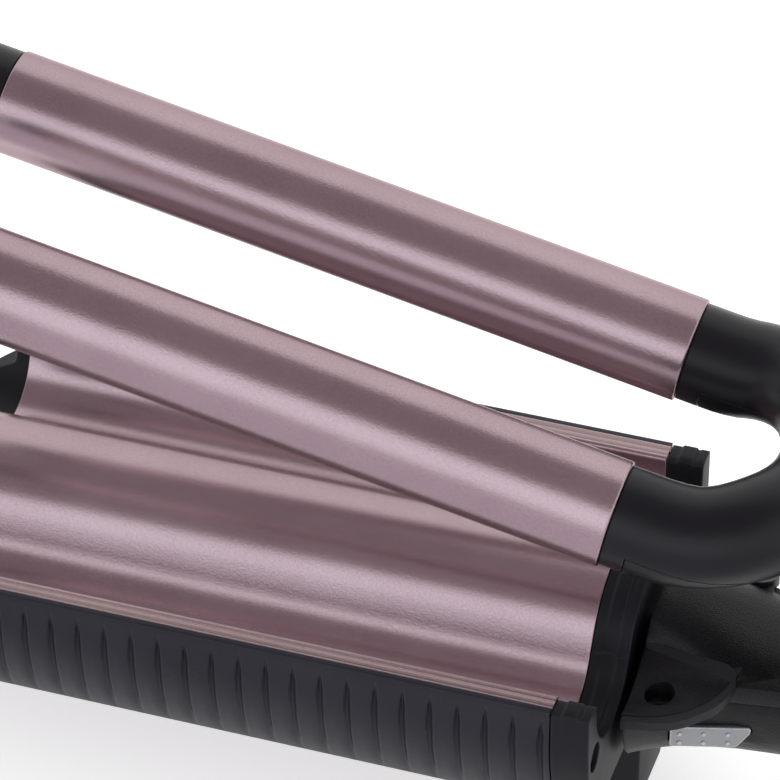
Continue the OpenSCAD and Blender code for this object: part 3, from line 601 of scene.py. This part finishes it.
@dataclass
class UpperArm:
    """The sprung upper arm in its open place: barrels, tip caps, yoke and handle."""

    hinge: Point = (247.1 * MM, 0.0, 41.5 * MM)
    open_angle: float = math.radians(11.5)
    barrel_rear: float = 65.1 * MM
    barrel_length: float = 137.6 * MM
    barrel_radius: float = 10 * MM
    barrel_wall: float = 1.5 * MM
    axis_y: float = 25.3 * MM
    axis_z: float = 48.6 * MM
    rim: float = 0.45 * MM
    cap_length: float = 14 * MM
    cap_dome: float = 6 * MM
    cap_radius: float = 9.6 * MM
    plug_radius: float = 8.35 * MM
    plug_length: float = 12 * MM
    plug_floor: float = 2 * MM
    heater_room: float = 5.3 * MM
    seam: float = 0.2 * MM

    def swing(self) -> Matrix:
        """The turn from the closed place to the open one."""
        there = Matrix.Translation(self.hinge)
        return there @ Matrix.Rotation(self.open_angle, 4, "Y") @ there.inverted()

    def barrel(self, side: Side) -> None:
        """Builds one hot barrel, a tube with rounded rims.

        Args:
            side: Which of the two barrels.
        """
        shape = Shape()
        front, rear = self.barrel_rear - self.barrel_length, self.barrel_rear
        y = self.axis_y * side.value
        inner = self.barrel_radius - self.barrel_wall
        outer = self.barrel_radius
        stations = [(front, inner), (front, outer), (rear, outer), (rear, inner)]
        corners = shape.trace([(x, y, self.axis_z + r) for x, r in stations], closed=True)
        shape.rounded(corners[1:3], self.rim)
        shape.turned((1, 0, 0), (0, y, self.axis_z))
        shape.moved(self.swing())
        publish(shape.piece(f"{side.word}_barrel_coat"), Body.UPPER, ROSE, f"{side.word}_barrel")

    def tip_cap(self, side: Side) -> None:
        """Builds one domed tip cap with the plug that holds it in its barrel.

        Args:
            side: Which barrel it closes.
        """
        shape = Shape()
        front = self.barrel_rear - self.barrel_length
        y = self.axis_y * side.value
        seam, plug, floor = front - self.seam, front + self.plug_length, front + self.plug_floor
        stations = [(seam - self.cap_length, 0.0), (seam - self.cap_length, self.cap_radius),
                    (seam, self.cap_radius), (seam, self.plug_radius), (plug, self.plug_radius),
                    (plug, self.heater_room), (floor, self.heater_room), (floor, 0.0)]
        corners = shape.trace([(x, y, self.axis_z + r) for x, r in stations])
        shape.rounded(corners[1:2], self.cap_dome, segments=12)
        shape.turned((1, 0, 0), (0, y, self.axis_z))
        shape.moved(self.swing())
        publish(shape.piece(f"{side.word}_tip_dome"), Body.UPPER, SATIN, f"{side.word}_tip_cap")

    def build(self) -> None:
        """Builds and dresses the arm."""
        for side in Side:
            self.barrel(side)
            self.tip_cap(side)
        dress(SATIN, "arm_shell", "arm_cover")
        dress(CERAMIC, "rod_heaters")
        dress(DARK_STEEL, "cover_screws")


@dataclass
class LowerJaw:
    """The hot wave plate, its side grips, caps and what they hide."""

    front: float = -67.9 * MM
    rear: float = 63.3 * MM
    half_width: float = 41.4 * MM
    lip: float = 49 * MM
    rim: float = 1.3 * MM
    plate_seat: float = 47.19 * MM
    side_foot: float = 42 * MM
    belly: float = 20.8 * MM
    side_radius: float = 37.35 * MM
    wall: float = 2.2 * MM
    cover_edge: float = 0.2 * MM
    round_edge: float = 0.45 * MM
    inner_heights: tuple[float, float, float] = (42 * MM, 35 * MM, 28 * MM)
    groove_pitch: float = 5.3 * MM
    groove_last: float = 61.65 * MM
    groove_count: int = 23
    groove_top: float = 47.3 * MM
    groove_depth: float = 0.85 * MM
    groove_half: float = 0.95 * MM
    groove_lean: float = -0.6 * MM
    groove_point: float = 0.22
    groove_point_power: float = 0.7
    groove_start: float = 0.12
    groove_fade: float = 0.3
    groove_cuts: tuple[float, ...] = (-1.5, -0.9, -0.65, -0.4, -0.2, 0.0, 0.2, 0.4, 0.65, 0.9, 1.2,
                                      1.55, 2.0, 2.6)
    front_pitch: float = 1.5 * MM
    front_cuts: int = 7
    least_pitch: float = 0.05 * MM
    rows: int = 30
    screw_seat: float = 68.6 * MM
    screw_y: float = 36.6 * MM
    screw_z: float = 36.3 * MM
    screw: Screw = Screw(head=2.55 * MM, head_height=1.4 * MM, shank=1.3 * MM, length=12.2 * MM)
    screw_turns: tuple[float, float] = (0.5, 1.9)

    def side_y(self, z: float, inset: float = 0.0) -> float:
        """How far out the side wall stands at a height.

        Args:
            z: The height.
            inset: How far inside the outer face.

        Returns:
            The distance from the middle plane.
        """
        if z >= self.side_foot:
            return self.half_width - inset
        radius = self.side_radius - inset
        drop = self.side_foot - z
        return self.half_width - self.side_radius + math.sqrt(radius**2 - drop**2)

    def groove(self, x: float, z: float) -> float:
        """How deep the grip is scooped at a point: long grooves, pointed above, fading below.

        Args:
            x: The place along the jaw.
            z: The height.

        Returns:
            The depth.
        """
        down = (self.groove_top - z) / (self.groove_top - self.belly)
        if not 0 < down < 1:
            return 0.0
        half = self.groove_half * min(1.0, (down / self.groove_point)**self.groove_point_power)
        depth = (self.groove_depth * min(1.0, down / self.groove_start)
                 * min(1.0, (1 - down) / self.groove_fade))
        centre_x = x - self.groove_lean * down
        step = round((self.groove_last - centre_x) / self.groove_pitch)
        step = min(max(step, 0), self.groove_count - 1)
        across = (centre_x - self.groove_last + step * self.groove_pitch) / half
        return depth * (1 - across**2)**2 if abs(across) < 1 else 0.0

    def stations(self) -> list[float]:
        """Places along the grip, closer together across each groove."""
        places = [self.front, self.rear]
        for step in range(self.groove_count):
            centre = self.groove_last - step * self.groove_pitch
            places += [centre + offset * MM for offset in self.groove_cuts]
        places += [self.front + self.front_pitch * (k + 1) for k in range(self.front_cuts)]
        inside = sorted(x for x in places if self.front <= x <= self.rear)
        return [x for k, x in enumerate(inside) if not k or x - inside[k - 1] > self.least_pitch]

    def grip(self, side: Side) -> None:
        """Builds one side grip.

        Args:
            side: Which of the two grips.
        """
        shape = Shape()
        edge = self.round_edge
        heights = [self.belly + (self.lip - edge - self.belly) * k / self.rows
                   for k in range(self.rows + 1)]
        outer = [(self.side_y(z), z) for z in heights]
        outer += [(self.half_width - edge * (1 - math.cos(a)), self.lip - edge * (1 - math.sin(a)))
                  for a in (math.pi / 6, math.pi / 3, math.pi / 2)]
        inner = [(self.half_width - self.rim, self.lip), (self.half_width - self.rim, self.plate_seat),
                 (self.half_width - self.wall, self.plate_seat)]
        inner += [(self.side_y(z, self.wall), z) for z in (*self.inner_heights, self.belly)]
        places = self.stations()
        shape.trace([(places[0], y * side.value, z) for y, z in outer + inner], closed=True)
        edges = shape.bm.edges[:]
        for here, there in zip(places, places[1:]):
            made = bmesh.ops.extrude_edge_only(shape.bm, edges=edges)["geom"]
            verts = [part for part in made if isinstance(part, bmesh.types.BMVert)]
            edges = [part for part in made if isinstance(part, bmesh.types.BMEdge)]
            bmesh.ops.translate(shape.bm, verts=verts, vec=(there - here, 0, 0))
        for vert in shape.bm.verts:
            x, y, z = vert.co
            out = abs(y) - self.side_y(min(z, self.side_foot))
            if abs(out) < MERGE and self.belly < z < self.lip - edge:
                vert.co.y -= self.groove(x, z) * side.value
        bmesh.ops.holes_fill(shape.bm, edges=shape.bm.edges[:], sides=0)
        publish(shape.piece(f"{side.word}_ribbed_grip"), Body.LOWER, GRIP, f"{side.word}_grip")

    def screws(self) -> None:
        """Builds the two screws that hold the rear cap."""
        both = Shape()
        for side, turn in zip(Side, self.screw_turns):
            one = self.screw.shape(turn)
            place = Vector((self.screw_seat, self.screw_y * side.value, self.screw_z))
            one.moved(Matrix.Translation(place) @ Matrix.Rotation(math.pi / 2, 4, "Y"))
            both.join(one)
        publish(both.piece("cap_slotted_screws"), Body.LOWER, DARK_STEEL, "cap_screws")

    def build(self) -> None:
        """Builds and dresses the jaw."""
        self.screws()
        for side in Side:
            self.grip(side)
        dress(ROSE_PLATE, "wave_plate")
        dress(ROSE_COVER, "keel_cover", edge=self.cover_edge)
        dress(CAP, "lower_tip")
        dress(SATIN, "jaw_frame")
        dress(CERAMIC, "plate_heaters", "thermostat")
        dress(STEEL, "heater_clamps")


@dataclass
class RearCap:
    """The end cap behind the wave plate, which follows its crest and channels, and the keel's end."""

    jaw: LowerJaw
    front: float = 63.6 * MM
    rear: float = 70.8 * MM
    keel_rear: float = 72.0 * MM
    crest_radius: float = 15.5 * MM
    crest_z: float = 37.0 * MM
    channel_y: float = 25.3 * MM
    channel_z: float = 46.0 * MM
    channel_radius: float = 11.0 * MM
    spigot: tuple[float, float, float] = (7.7 * MM, 23.3 * MM, 34.2 * MM)
    recess: float = 3.0 * MM
    shank: float = 1.5 * MM
    rim: float = 0.7 * MM
    corner: float = 0.6 * MM
    crest_steps: int = 12
    channel_steps: int = 22
    channel_end: float = math.radians(368)
    lip_line: Pairs = ((36.45 * MM, 48.45 * MM), (37.1 * MM, 48.9 * MM), (37.8 * MM, 49.0 * MM))
    side_steps: int = 10
    sinks: Pairs = ((0.0, 0.35 * MM), (0.25, 0.35 * MM), (0.3, -0.1 * MM), (0.66, -0.1 * MM),
                    (0.70, 0.32 * MM), (0.74, 0.32 * MM), (0.78, 0.1 * MM), (1.0, 0.1 * MM))
    sink_cuts: tuple[float, ...] = (0.25, 0.275, 0.3, 0.66, 0.68, 0.7, 0.74, 0.76, 0.78)
    seat_step: float = 0.02 * MM
    spigot_wall: float = 0.2 * MM
    shoulder: float = 0.9 * MM
    keel_half: float = 8.6 * MM
    keel_foot_half: float = 7.4 * MM
    keel_foot: float = 1.4 * MM
    keel_top: float = 22.9 * MM
    keel_round: float = 0.5 * MM
    keel_rim: float = 0.4 * MM

    def top(self) -> list[tuple[float, float]]:
        """Half of the top line, from the middle of the crest out to the lip."""
        lean = math.atan2(self.channel_z - self.crest_z, self.channel_y)
        crest = arc((0.0, self.crest_z), self.crest_radius, math.pi / 2, lean, self.crest_steps)
        channel = arc((self.channel_y, self.channel_z), self.channel_radius, math.pi + lean,
                      self.channel_end, self.channel_steps)
        return crest + channel + list(self.lip_line)

    def drop(self, x: float) -> float:
        """How far the top line sinks at a station: band, raised strip, soft groove, rear ridge.

        Args:
            x: The station.

        Returns:
            The sink.
        """
        along = (x - self.front) / (self.rear - self.front)
        for (here, low), (there, high) in zip(self.sinks, self.sinks[1:]):
            if along <= there:
                share = max((along - here) / (there - here), 0.0)
                return low + (high - low) * share * share * (3 - 2 * share)
        return self.sinks[-1][1]

    def body(self) -> Shape:
        """Builds the block that closes the jaw, with its opening and its screw recesses."""
        jaw = self.jaw
        heights = [jaw.belly + (jaw.side_foot - jaw.belly) * k / self.side_steps
                   for k in range(self.side_steps + 1)]
        half = self.top() + [(jaw.half_width, jaw.lip)]
        half += [(jaw.side_y(z), z) for z in reversed(heights)]
        outline = [(-y, z) for y, z in reversed(half)] + half[1:]
        shape = Shape()
        verts = shape.trace([(self.front, y, z) for y, z in outline], closed=True)
        corners = [vert for vert in verts if abs(abs(vert.co.y) - jaw.half_width) < SAME
                   and abs(vert.co.z - jaw.lip) < SAME]
        shape.rounded(corners, self.corner, segments=4)
        wide, low, high = self.spigot
        shape.trace([(self.front, y, z) for y, z in
                     ((-wide, low), (wide, low), (wide, high), (-wide, high))], closed=True)
        for side in Side:
            place = Matrix.Translation((self.front, jaw.screw_y * side.value, jaw.screw_z))
            bmesh.ops.create_circle(shape.bm, segments=32, radius=self.recess, cap_ends=False,
                                    matrix=place @ Matrix.Rotation(math.pi / 2, 4, "Y"))
        shape.filled()
        length = self.rear - self.front
        back = shape.extruded((length, 0, 0))
        rim = [edge for edge in shape.bordering(back) if not self.in_hole(edge)]
        shape.softened(rim, self.rim, segments=4)
        for along in self.sink_cuts:
            shape.cut((self.front + length * along, 0, 0), (1, 0, 0))
        for x in (jaw.screw_seat - self.seat_step, jaw.screw_seat):
            shape.cut((x, 0, 0), (1, 0, 0))
        for vert in shape.bm.verts:
            self.settle(vert)
        return shape

    def in_hole(self, edge: bmesh.types.BMEdge) -> bool:
        """Whether an edge bounds the spigot's opening or a screw's recess.

        Args:
            edge: The edge.

        Returns:
            True if it does.
        """
        middle = (edge.verts[0].co + edge.verts[1].co) / 2
        off = math.hypot(abs(middle.y) - self.jaw.screw_y, middle.z - self.jaw.screw_z)
        wide, low, high = self.spigot
        slack = self.spigot_wall
        return off < self.recess + slack or (abs(middle.y) < wide + slack
                                             and low - slack < middle.z < high + slack)

    def settle(self, vert: bmesh.types.BMVert) -> None:
        """Sinks a vertex of the top line, and narrows a screw's recess in front of its seat.

        Args:
            vert: The vertex.
        """
        y, z = abs(vert.co.y), vert.co.z
        off = math.hypot(y - self.jaw.screw_y, z - self.jaw.screw_z)
        if off < self.recess + self.seat_step:
            if vert.co.x < self.jaw.screw_seat - self.seat_step / 2:
                share = self.shank / off
                vert.co.z = self.jaw.screw_z + (z - self.jaw.screw_z) * share
                vert.co.y = math.copysign(self.jaw.screw_y + (y - self.jaw.screw_y) * share,
                                          vert.co.y)
        elif (z > self.spigot[2] + self.spigot_wall
              and (y < self.jaw.half_width - self.rim or z > self.jaw.lip - self.shoulder)):
            vert.co.z -= self.drop(vert.co.x)

    def keel_end(self) -> Shape:
        """Builds the keel's end block."""
        shape = Shape()
        half = [(self.keel_foot_half, 0.0), (self.keel_half, self.keel_foot),
                (self.keel_half, self.keel_top)]
        outline = half + [(-y, z) for y, z in reversed(half)]
        verts = shape.trace([(self.front, y, z) for y, z in outline], closed=True)
        shape.rounded([verts[1], verts[4]], self.keel_round, segments=3)
        bmesh.ops.edgeloop_fill(shape.bm, edges=shape.bm.edges[:])
        back = shape.extruded((self.keel_rear - self.front, 0, 0))
        shape.softened(shape.bordering(back), self.keel_rim, segments=3)
        return shape

    def build(self) -> None:
        """Builds the cap."""
        shape = self.body()
        shape.join(self.keel_end())
        publish(shape.piece("rear_end_cap"), Body.LOWER, CAP, "rear_cap")


@dataclass
class LowerHandle:
    """The textured handle with its electrics, key, button and cord gland."""

    shell_edge: float = 0.35 * MM
    screw_x: float = 78.2 * MM
    screw_y: float = 19.7 * MM
    screw_seat: float = 35.7 * MM
    screw: Screw = Screw(head=2.5 * MM, head_height=1.2 * MM, shank=1.3 * MM, length=3.0 * MM)
    screw_turns: tuple[float, float] = (1.9, 0.7)
    recess: float = 2.85 * MM
    saddle_start: float = 72.8 * MM
    saddle_y: float = 23.2 * MM
    saddle_radius: float = 18.9 * MM
    saddle_low: float = 38.0 * MM
    saddle_tilt: float = math.radians(9)
    saddle_reach: float = 0.95
    outer_sag: float = 0.4
    pad_lift: float = 0.35 * MM
    pad_top: float = 43.9 * MM
    pad_blend: float = 0.8 * MM
    pad_thickness: float = 2.0 * MM
    pad_edge: float = 0.4 * MM
    pad_plan: Pairs = ((73.1 * MM, 10.2 * MM), (91.8 * MM, 12.6 * MM), (91.2 * MM, 20.0 * MM),
                       (83.0 * MM, 27.8 * MM), (73.1 * MM, 28.2 * MM))
    pad_round: float = 4.3 * MM
    pad_cuts_x: range = range(75, 92, 2)
    pad_cuts_y: range = range(11, 28)
    pad_merge: float = 0.01 * MM
    key_corner: Point = (80.2 * MM, -18.6 * MM, 26.2 * MM)
    key_yaw: float = math.radians(16.3)
    dot_first: Point = (1.8 * MM, 0.16 * MM, 1 * MM)
    dot_pitch: float = 4.5 * MM
    dot_row: float = 2.1 * MM
    dot_columns: int = 3
    dot_rows: int = 2
    dot_radius: float = 0.56 * MM
    dot_angles: tuple[float, ...] = (0, 0.35, 0.7, 1.05, 1.35)
    key_size: tuple[float, float, float] = (15.0 * MM, 4.3 * MM, 4.7 * MM)
    key_slant: float = 2.6 * MM
    key_tip: float = 1.2 * MM
    key_corner_round: float = 0.7 * MM
    key_rim: float = 0.55 * MM
    flange: float = 0.8 * MM
    flange_start: float = 0.6 * MM
    flange_short: float = 3.6 * MM
    flange_gap: float = 0.01 * MM

    def pad_surface(self, x: float, out: float) -> float:
        """Height of the pad's face, which follows the saddle that the yoke closes into.

        Args:
            x: The place along the handle.
            out: The distance from the middle plane.

        Returns:
            The height.
        """
        off = min(abs(out - self.saddle_y), self.saddle_radius * self.saddle_reach)
        lean = math.cos(self.saddle_tilt)
        sag = (self.saddle_radius - math.sqrt(self.saddle_radius**2 - off**2)) / lean
        if out > self.saddle_y:
            sag *= self.outer_sag
        rise = (x - self.saddle_start) * math.tan(self.saddle_tilt)
        full = self.saddle_low + rise + sag + self.pad_lift
        blend = math.exp((self.pad_top - full) / self.pad_blend)
        return self.pad_top - self.pad_blend * math.log(1 + blend)

    def pad(self, side: Side) -> None:
        """Builds one D-shaped shoulder pad round its screw.

        Args:
            side: Which of the two shoulders.
        """
        shape = Shape()
        outline = shape.trace([(x, y, 0.0) for x, y in self.pad_plan], closed=True)
        shape.rounded(outline[1:4], self.pad_round, segments=8)
        hole = Matrix.Translation((self.screw_x, self.screw_y, 0))
        bmesh.ops.create_circle(shape.bm, segments=40, radius=self.recess, matrix=hole,
                                cap_ends=False)
        shape.filled()
        top = shape.extruded((0, 0, self.pad_thickness))
        shape.softened(shape.bordering(top), self.pad_edge, segments=3)
        for y in self.pad_cuts_y:
            shape.cut((0, y * MM, 0), (0, 1, 0))
        for x in self.pad_cuts_x:
            shape.cut((x * MM, 0, 0), (1, 0, 0))
        shape.merge(self.pad_merge)
        for vert in shape.bm.verts:
            vert.co.z += self.pad_surface(vert.co.x, vert.co.y) - self.pad_thickness
        shape.moved(Matrix.Diagonal((1, side.value, 1, 1)))
        publish(shape.piece(f"{side.word}_shoulder_pad", sharp=50), Body.LOWER, PAD_PAINTED_HIGHLIGHT)

    def screws(self) -> None:
        """Builds the two screws sunk in the shoulders."""
        both = Shape()
        for side, turn in zip(Side, self.screw_turns):
            one = self.screw.shape(turn)
            one.moved(Matrix.Translation((self.screw_x, self.screw_y * side.value, self.screw_seat)))
            both.join(one)
        publish(both.piece("shoulder_screws"), Body.LOWER, DARK_STEEL, "lobe_screws")

    def key_place(self) -> Matrix:
        """Where the key's own corner and front face lie."""
        return Matrix.Translation(self.key_corner) @ Matrix.Rotation(self.key_yaw, 4, "Z")

    def key(self) -> None:
        """Builds the silver key with its soft rim, and the flange that keeps it in its opening."""
        shape = Shape()
        length, depth, height = self.key_size
        corners = [(0, 0), (length - self.key_slant, 0), (length, height - self.key_tip),
                   (length, height), (0, height)]
        outline = shape.trace([(x, 0.0, z) for x, z in corners], closed=True)
        shape.rounded(outline, self.key_corner_round, segments=5)
        bmesh.ops.edgeloop_fill(shape.bm, edges=shape.bm.edges[:])
        shape.extruded((0, depth, 0))
        rim = [edge for edge in shape.bm.edges if all(vert.co.y < depth / 2 for vert in edge.verts)]
        shape.softened(rim, self.key_rim, segments=5)
        flange = Shape()
        bmesh.ops.create_cube(flange.bm, size=1.0)
        size = Vector((length - self.flange_short, self.flange, height + 2 * self.flange))
        middle = Vector((self.flange_start, depth + self.flange_gap, -self.flange)) + size / 2
        flange.moved(Matrix.Translation(middle) @ Matrix.Diagonal((*size, 1.0)))
        shape.join(flange)
        shape.moved(self.key_place())
        publish(shape.piece("silver_key"), Body.KEY, SILVER, "side_key")

    def key_dots(self) -> None:
        """Builds the six raised dots on the side key, whose bright paint is a painted highlight."""
        shape = Shape()
        dome = [(self.dot_radius * math.sin(a), -self.dot_radius * math.cos(a), 0.0)
                for a in self.dot_angles]
        x, y, z = self.dot_first
        for column in range(self.dot_columns):
            for row in range(self.dot_rows):
                dot = Shape()
                dot.trace(dome + [(0.0, 0.0, 0.0)])
                dot.turned((0, 1, 0), (0, 0, 0), steps=20)
                dot.moved(Matrix.Translation((x + column * self.dot_pitch, y,
                                              z + row * self.dot_row)))
                shape.join(dot)
        shape.moved(self.key_place())
        publish(shape.piece("key_dots"), Body.KEY, DOT)

    def build(self) -> None:
        """Builds and dresses the handle."""
        dress(TEXTURED, "handle_top", "handle_bottom", edge=self.shell_edge)
        for side in Side:
            self.pad(side)
        self.screws()
        self.key()
        self.key_dots()
        dress(BOARD, "control_board")
        dress(SWITCH, "key_switch", "button_switch")
        dress(LENS, "indicator_lens")
        dress(SILVER, "power_button")
        dress(GLAND, "cord_gland")
        dress(STEEL, "hinge_pin", "hinge_washers", "torsion_spring")


@dataclass
class Studio:
    """Camera, floor, lamps and world."""

    eye: Point = (0.25077, -0.70602, 0.66348)
    look: Point = (-0.2453, 0.7483, -0.6165)
    lens: float = 235.0
    floor_size: float = 6.0
    floor_gap: float = 0.3 * MM
    floor_colour: Colour = (0.80, 0.80, 0.80)
    floor_lift: float = 0.60
    ambient: float = 0.62
    shade: Colour = (0.29, 0.235, 0.265)
    floor_shade: Colour = (0.72, 0.67, 0.74)
    cool: Colour = (0.66, 0.78, 1.0)

    def camera(self) -> None:
        """Sets up the camera."""
        data = bpy.data.cameras.new("camera")
        data.lens = self.lens
        data.sensor_width = 36.0
        data.clip_start = 0.01
        item = bpy.data.objects.new("camera", data)
        item.location = self.eye
        item.rotation_euler = Vector(self.look).to_track_quat("-Z", "Y").to_euler()
        bpy.context.scene.collection.objects.link(item)
        bpy.context.scene.camera = item

    def seen(self, graph: Graph) -> Value:
        """1 for rays that show the background: straight, mirrored or through glass."""
        straight, mirrored, through = (graph.node("ShaderNodeLightPath", {}, {}, f"Is {kind} Ray")
                                       for kind in ("Camera", "Glossy", "Transmission"))
        return (straight + mirrored + through).clamped()

    def floor(self) -> None:
        """Lays the pale floor that the waver stands on."""
        shape = Shape()
        bmesh.ops.create_grid(shape.bm, x_segments=1, y_segments=1, size=self.floor_size / 2)
        shape.moved(Matrix.Translation((0, 0, -self.floor_gap)))
        item = shape.piece("floor")
        material, graph = blank_material("pale_floor")
        matt = graph.node("ShaderNodeBsdfDiffuse", {}, {"Color": self.floor_colour})
        lift = graph.node("ShaderNodeEmission", {}, {"Strength": self.seen(graph) * self.floor_lift})
        both = graph.node("ShaderNodeAddShader", {}, {0: matt, 1: lift})
        graph.node("ShaderNodeOutputMaterial", {}, {"Surface": both})
        item.data.materials.append(material)

    def world(self) -> None:
        """White to look at, and a dimmer even light on the object."""
        world = bpy.data.worlds.new("studio")
        world.use_nodes = True
        bpy.context.scene.world = world
        graph = Graph(world.node_tree)
        strength = self.seen(graph) * (1 - self.ambient) + self.ambient
        back = graph.node("ShaderNodeBackground", {}, {"Color": (1.0, 1.0, 1.0), "Strength": strength})
        graph.node("ShaderNodeOutputWorld", {}, {"Surface": back})

    def card(self, name: str, place: Point, target: Point, size: tuple[float, float],
             shade: Colour) -> None:
        """Places one card that only mirrored rays meet, to shade the gloss.

        Args:
            name: The card's name.
            place: Where its middle is.
            target: What it faces.
            size: Its width and height in metres.
            shade: How bright it looks.
        """
        shape = Shape()
        bmesh.ops.create_grid(shape.bm, x_segments=1, y_segments=1, size=0.5)
        way = Vector(target) - Vector(place)
        turn = way.to_track_quat("Z", "Y").to_matrix().to_4x4()
        shape.moved(Matrix.Translation(place) @ turn @ Matrix.Diagonal((*size, 1.0, 1.0)))
        item = shape.piece(name)
        material, graph = blank_material(name)
        glow = graph.node("ShaderNodeEmission", {}, {"Color": shade})
        graph.node("ShaderNodeOutputMaterial", {}, {"Surface": glow})
        item.data.materials.append(material)
        for kind in ("camera", "diffuse", "transmission", "shadow", "volume_scatter"):
            setattr(item, f"visible_{kind}", False)

    def lamp(self, name: str, place: Point, target: Point, size: tuple[float, float], watts: float,
             colour: Colour = (1.0, 1.0, 1.0), mirrored: bool = True) -> None:
        """Hangs one soft lamp.

        Args:
            name: The lamp's name.
            place: Where it hangs.
            target: What it faces.
            size: Its width and height in metres.
            watts: Its power.
            colour: Its colour.
            mirrored: Whether glossy surfaces show it.
        """
        data = bpy.data.lights.new(name, "AREA")
        data.shape = "RECTANGLE"
        data.size, data.size_y = size
        data.energy = watts
        data.color = colour
        item = bpy.data.objects.new(name, data)
        item.location = place
        way = Vector(target) - Vector(place)
        item.rotation_euler = way.to_track_quat("-Z", "Y").to_euler()
        item.visible_glossy = mirrored
        bpy.context.scene.collection.objects.link(item)

    def build(self) -> None:
        """Sets up the whole studio."""
        self.camera()
        self.floor()
        self.world()
        self.lamp("back_high", place=(0.0, 0.75, 1.0), target=(0, 0, 0.05), size=(1.4, 0.8), watts=6,
                  mirrored=False)
        self.lamp("front_low", place=(-0.2, -1.15, 0.45), target=(0, 0, 0.06), size=(2.0, 0.75),
                  watts=2, colour=self.cool)
        self.card("ceiling_shade", place=(-0.25, -0.36, 1.05), target=(-0.25, -0.36, 0),
                  size=(2.6, 1.5), shade=self.shade)
        self.card("floor_shade", place=(0, -0.56, 0.2 * MM), target=(0, -0.56, 1), size=(1.8, 1.0),
                  shade=self.floor_shade)
        bpy.context.scene.view_settings.view_transform = "Standard"


def main() -> None:
    """Builds every sub-assembly in order."""
    logging.basicConfig(level=logging.INFO, format="%(message)s")
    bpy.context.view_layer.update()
    Studio().build()
    jaw = LowerJaw()
    jaw.build()
    RearCap(jaw).build()
    LowerHandle().build()
    UpperArm().build()


if __name__ == "__main__":
    main()
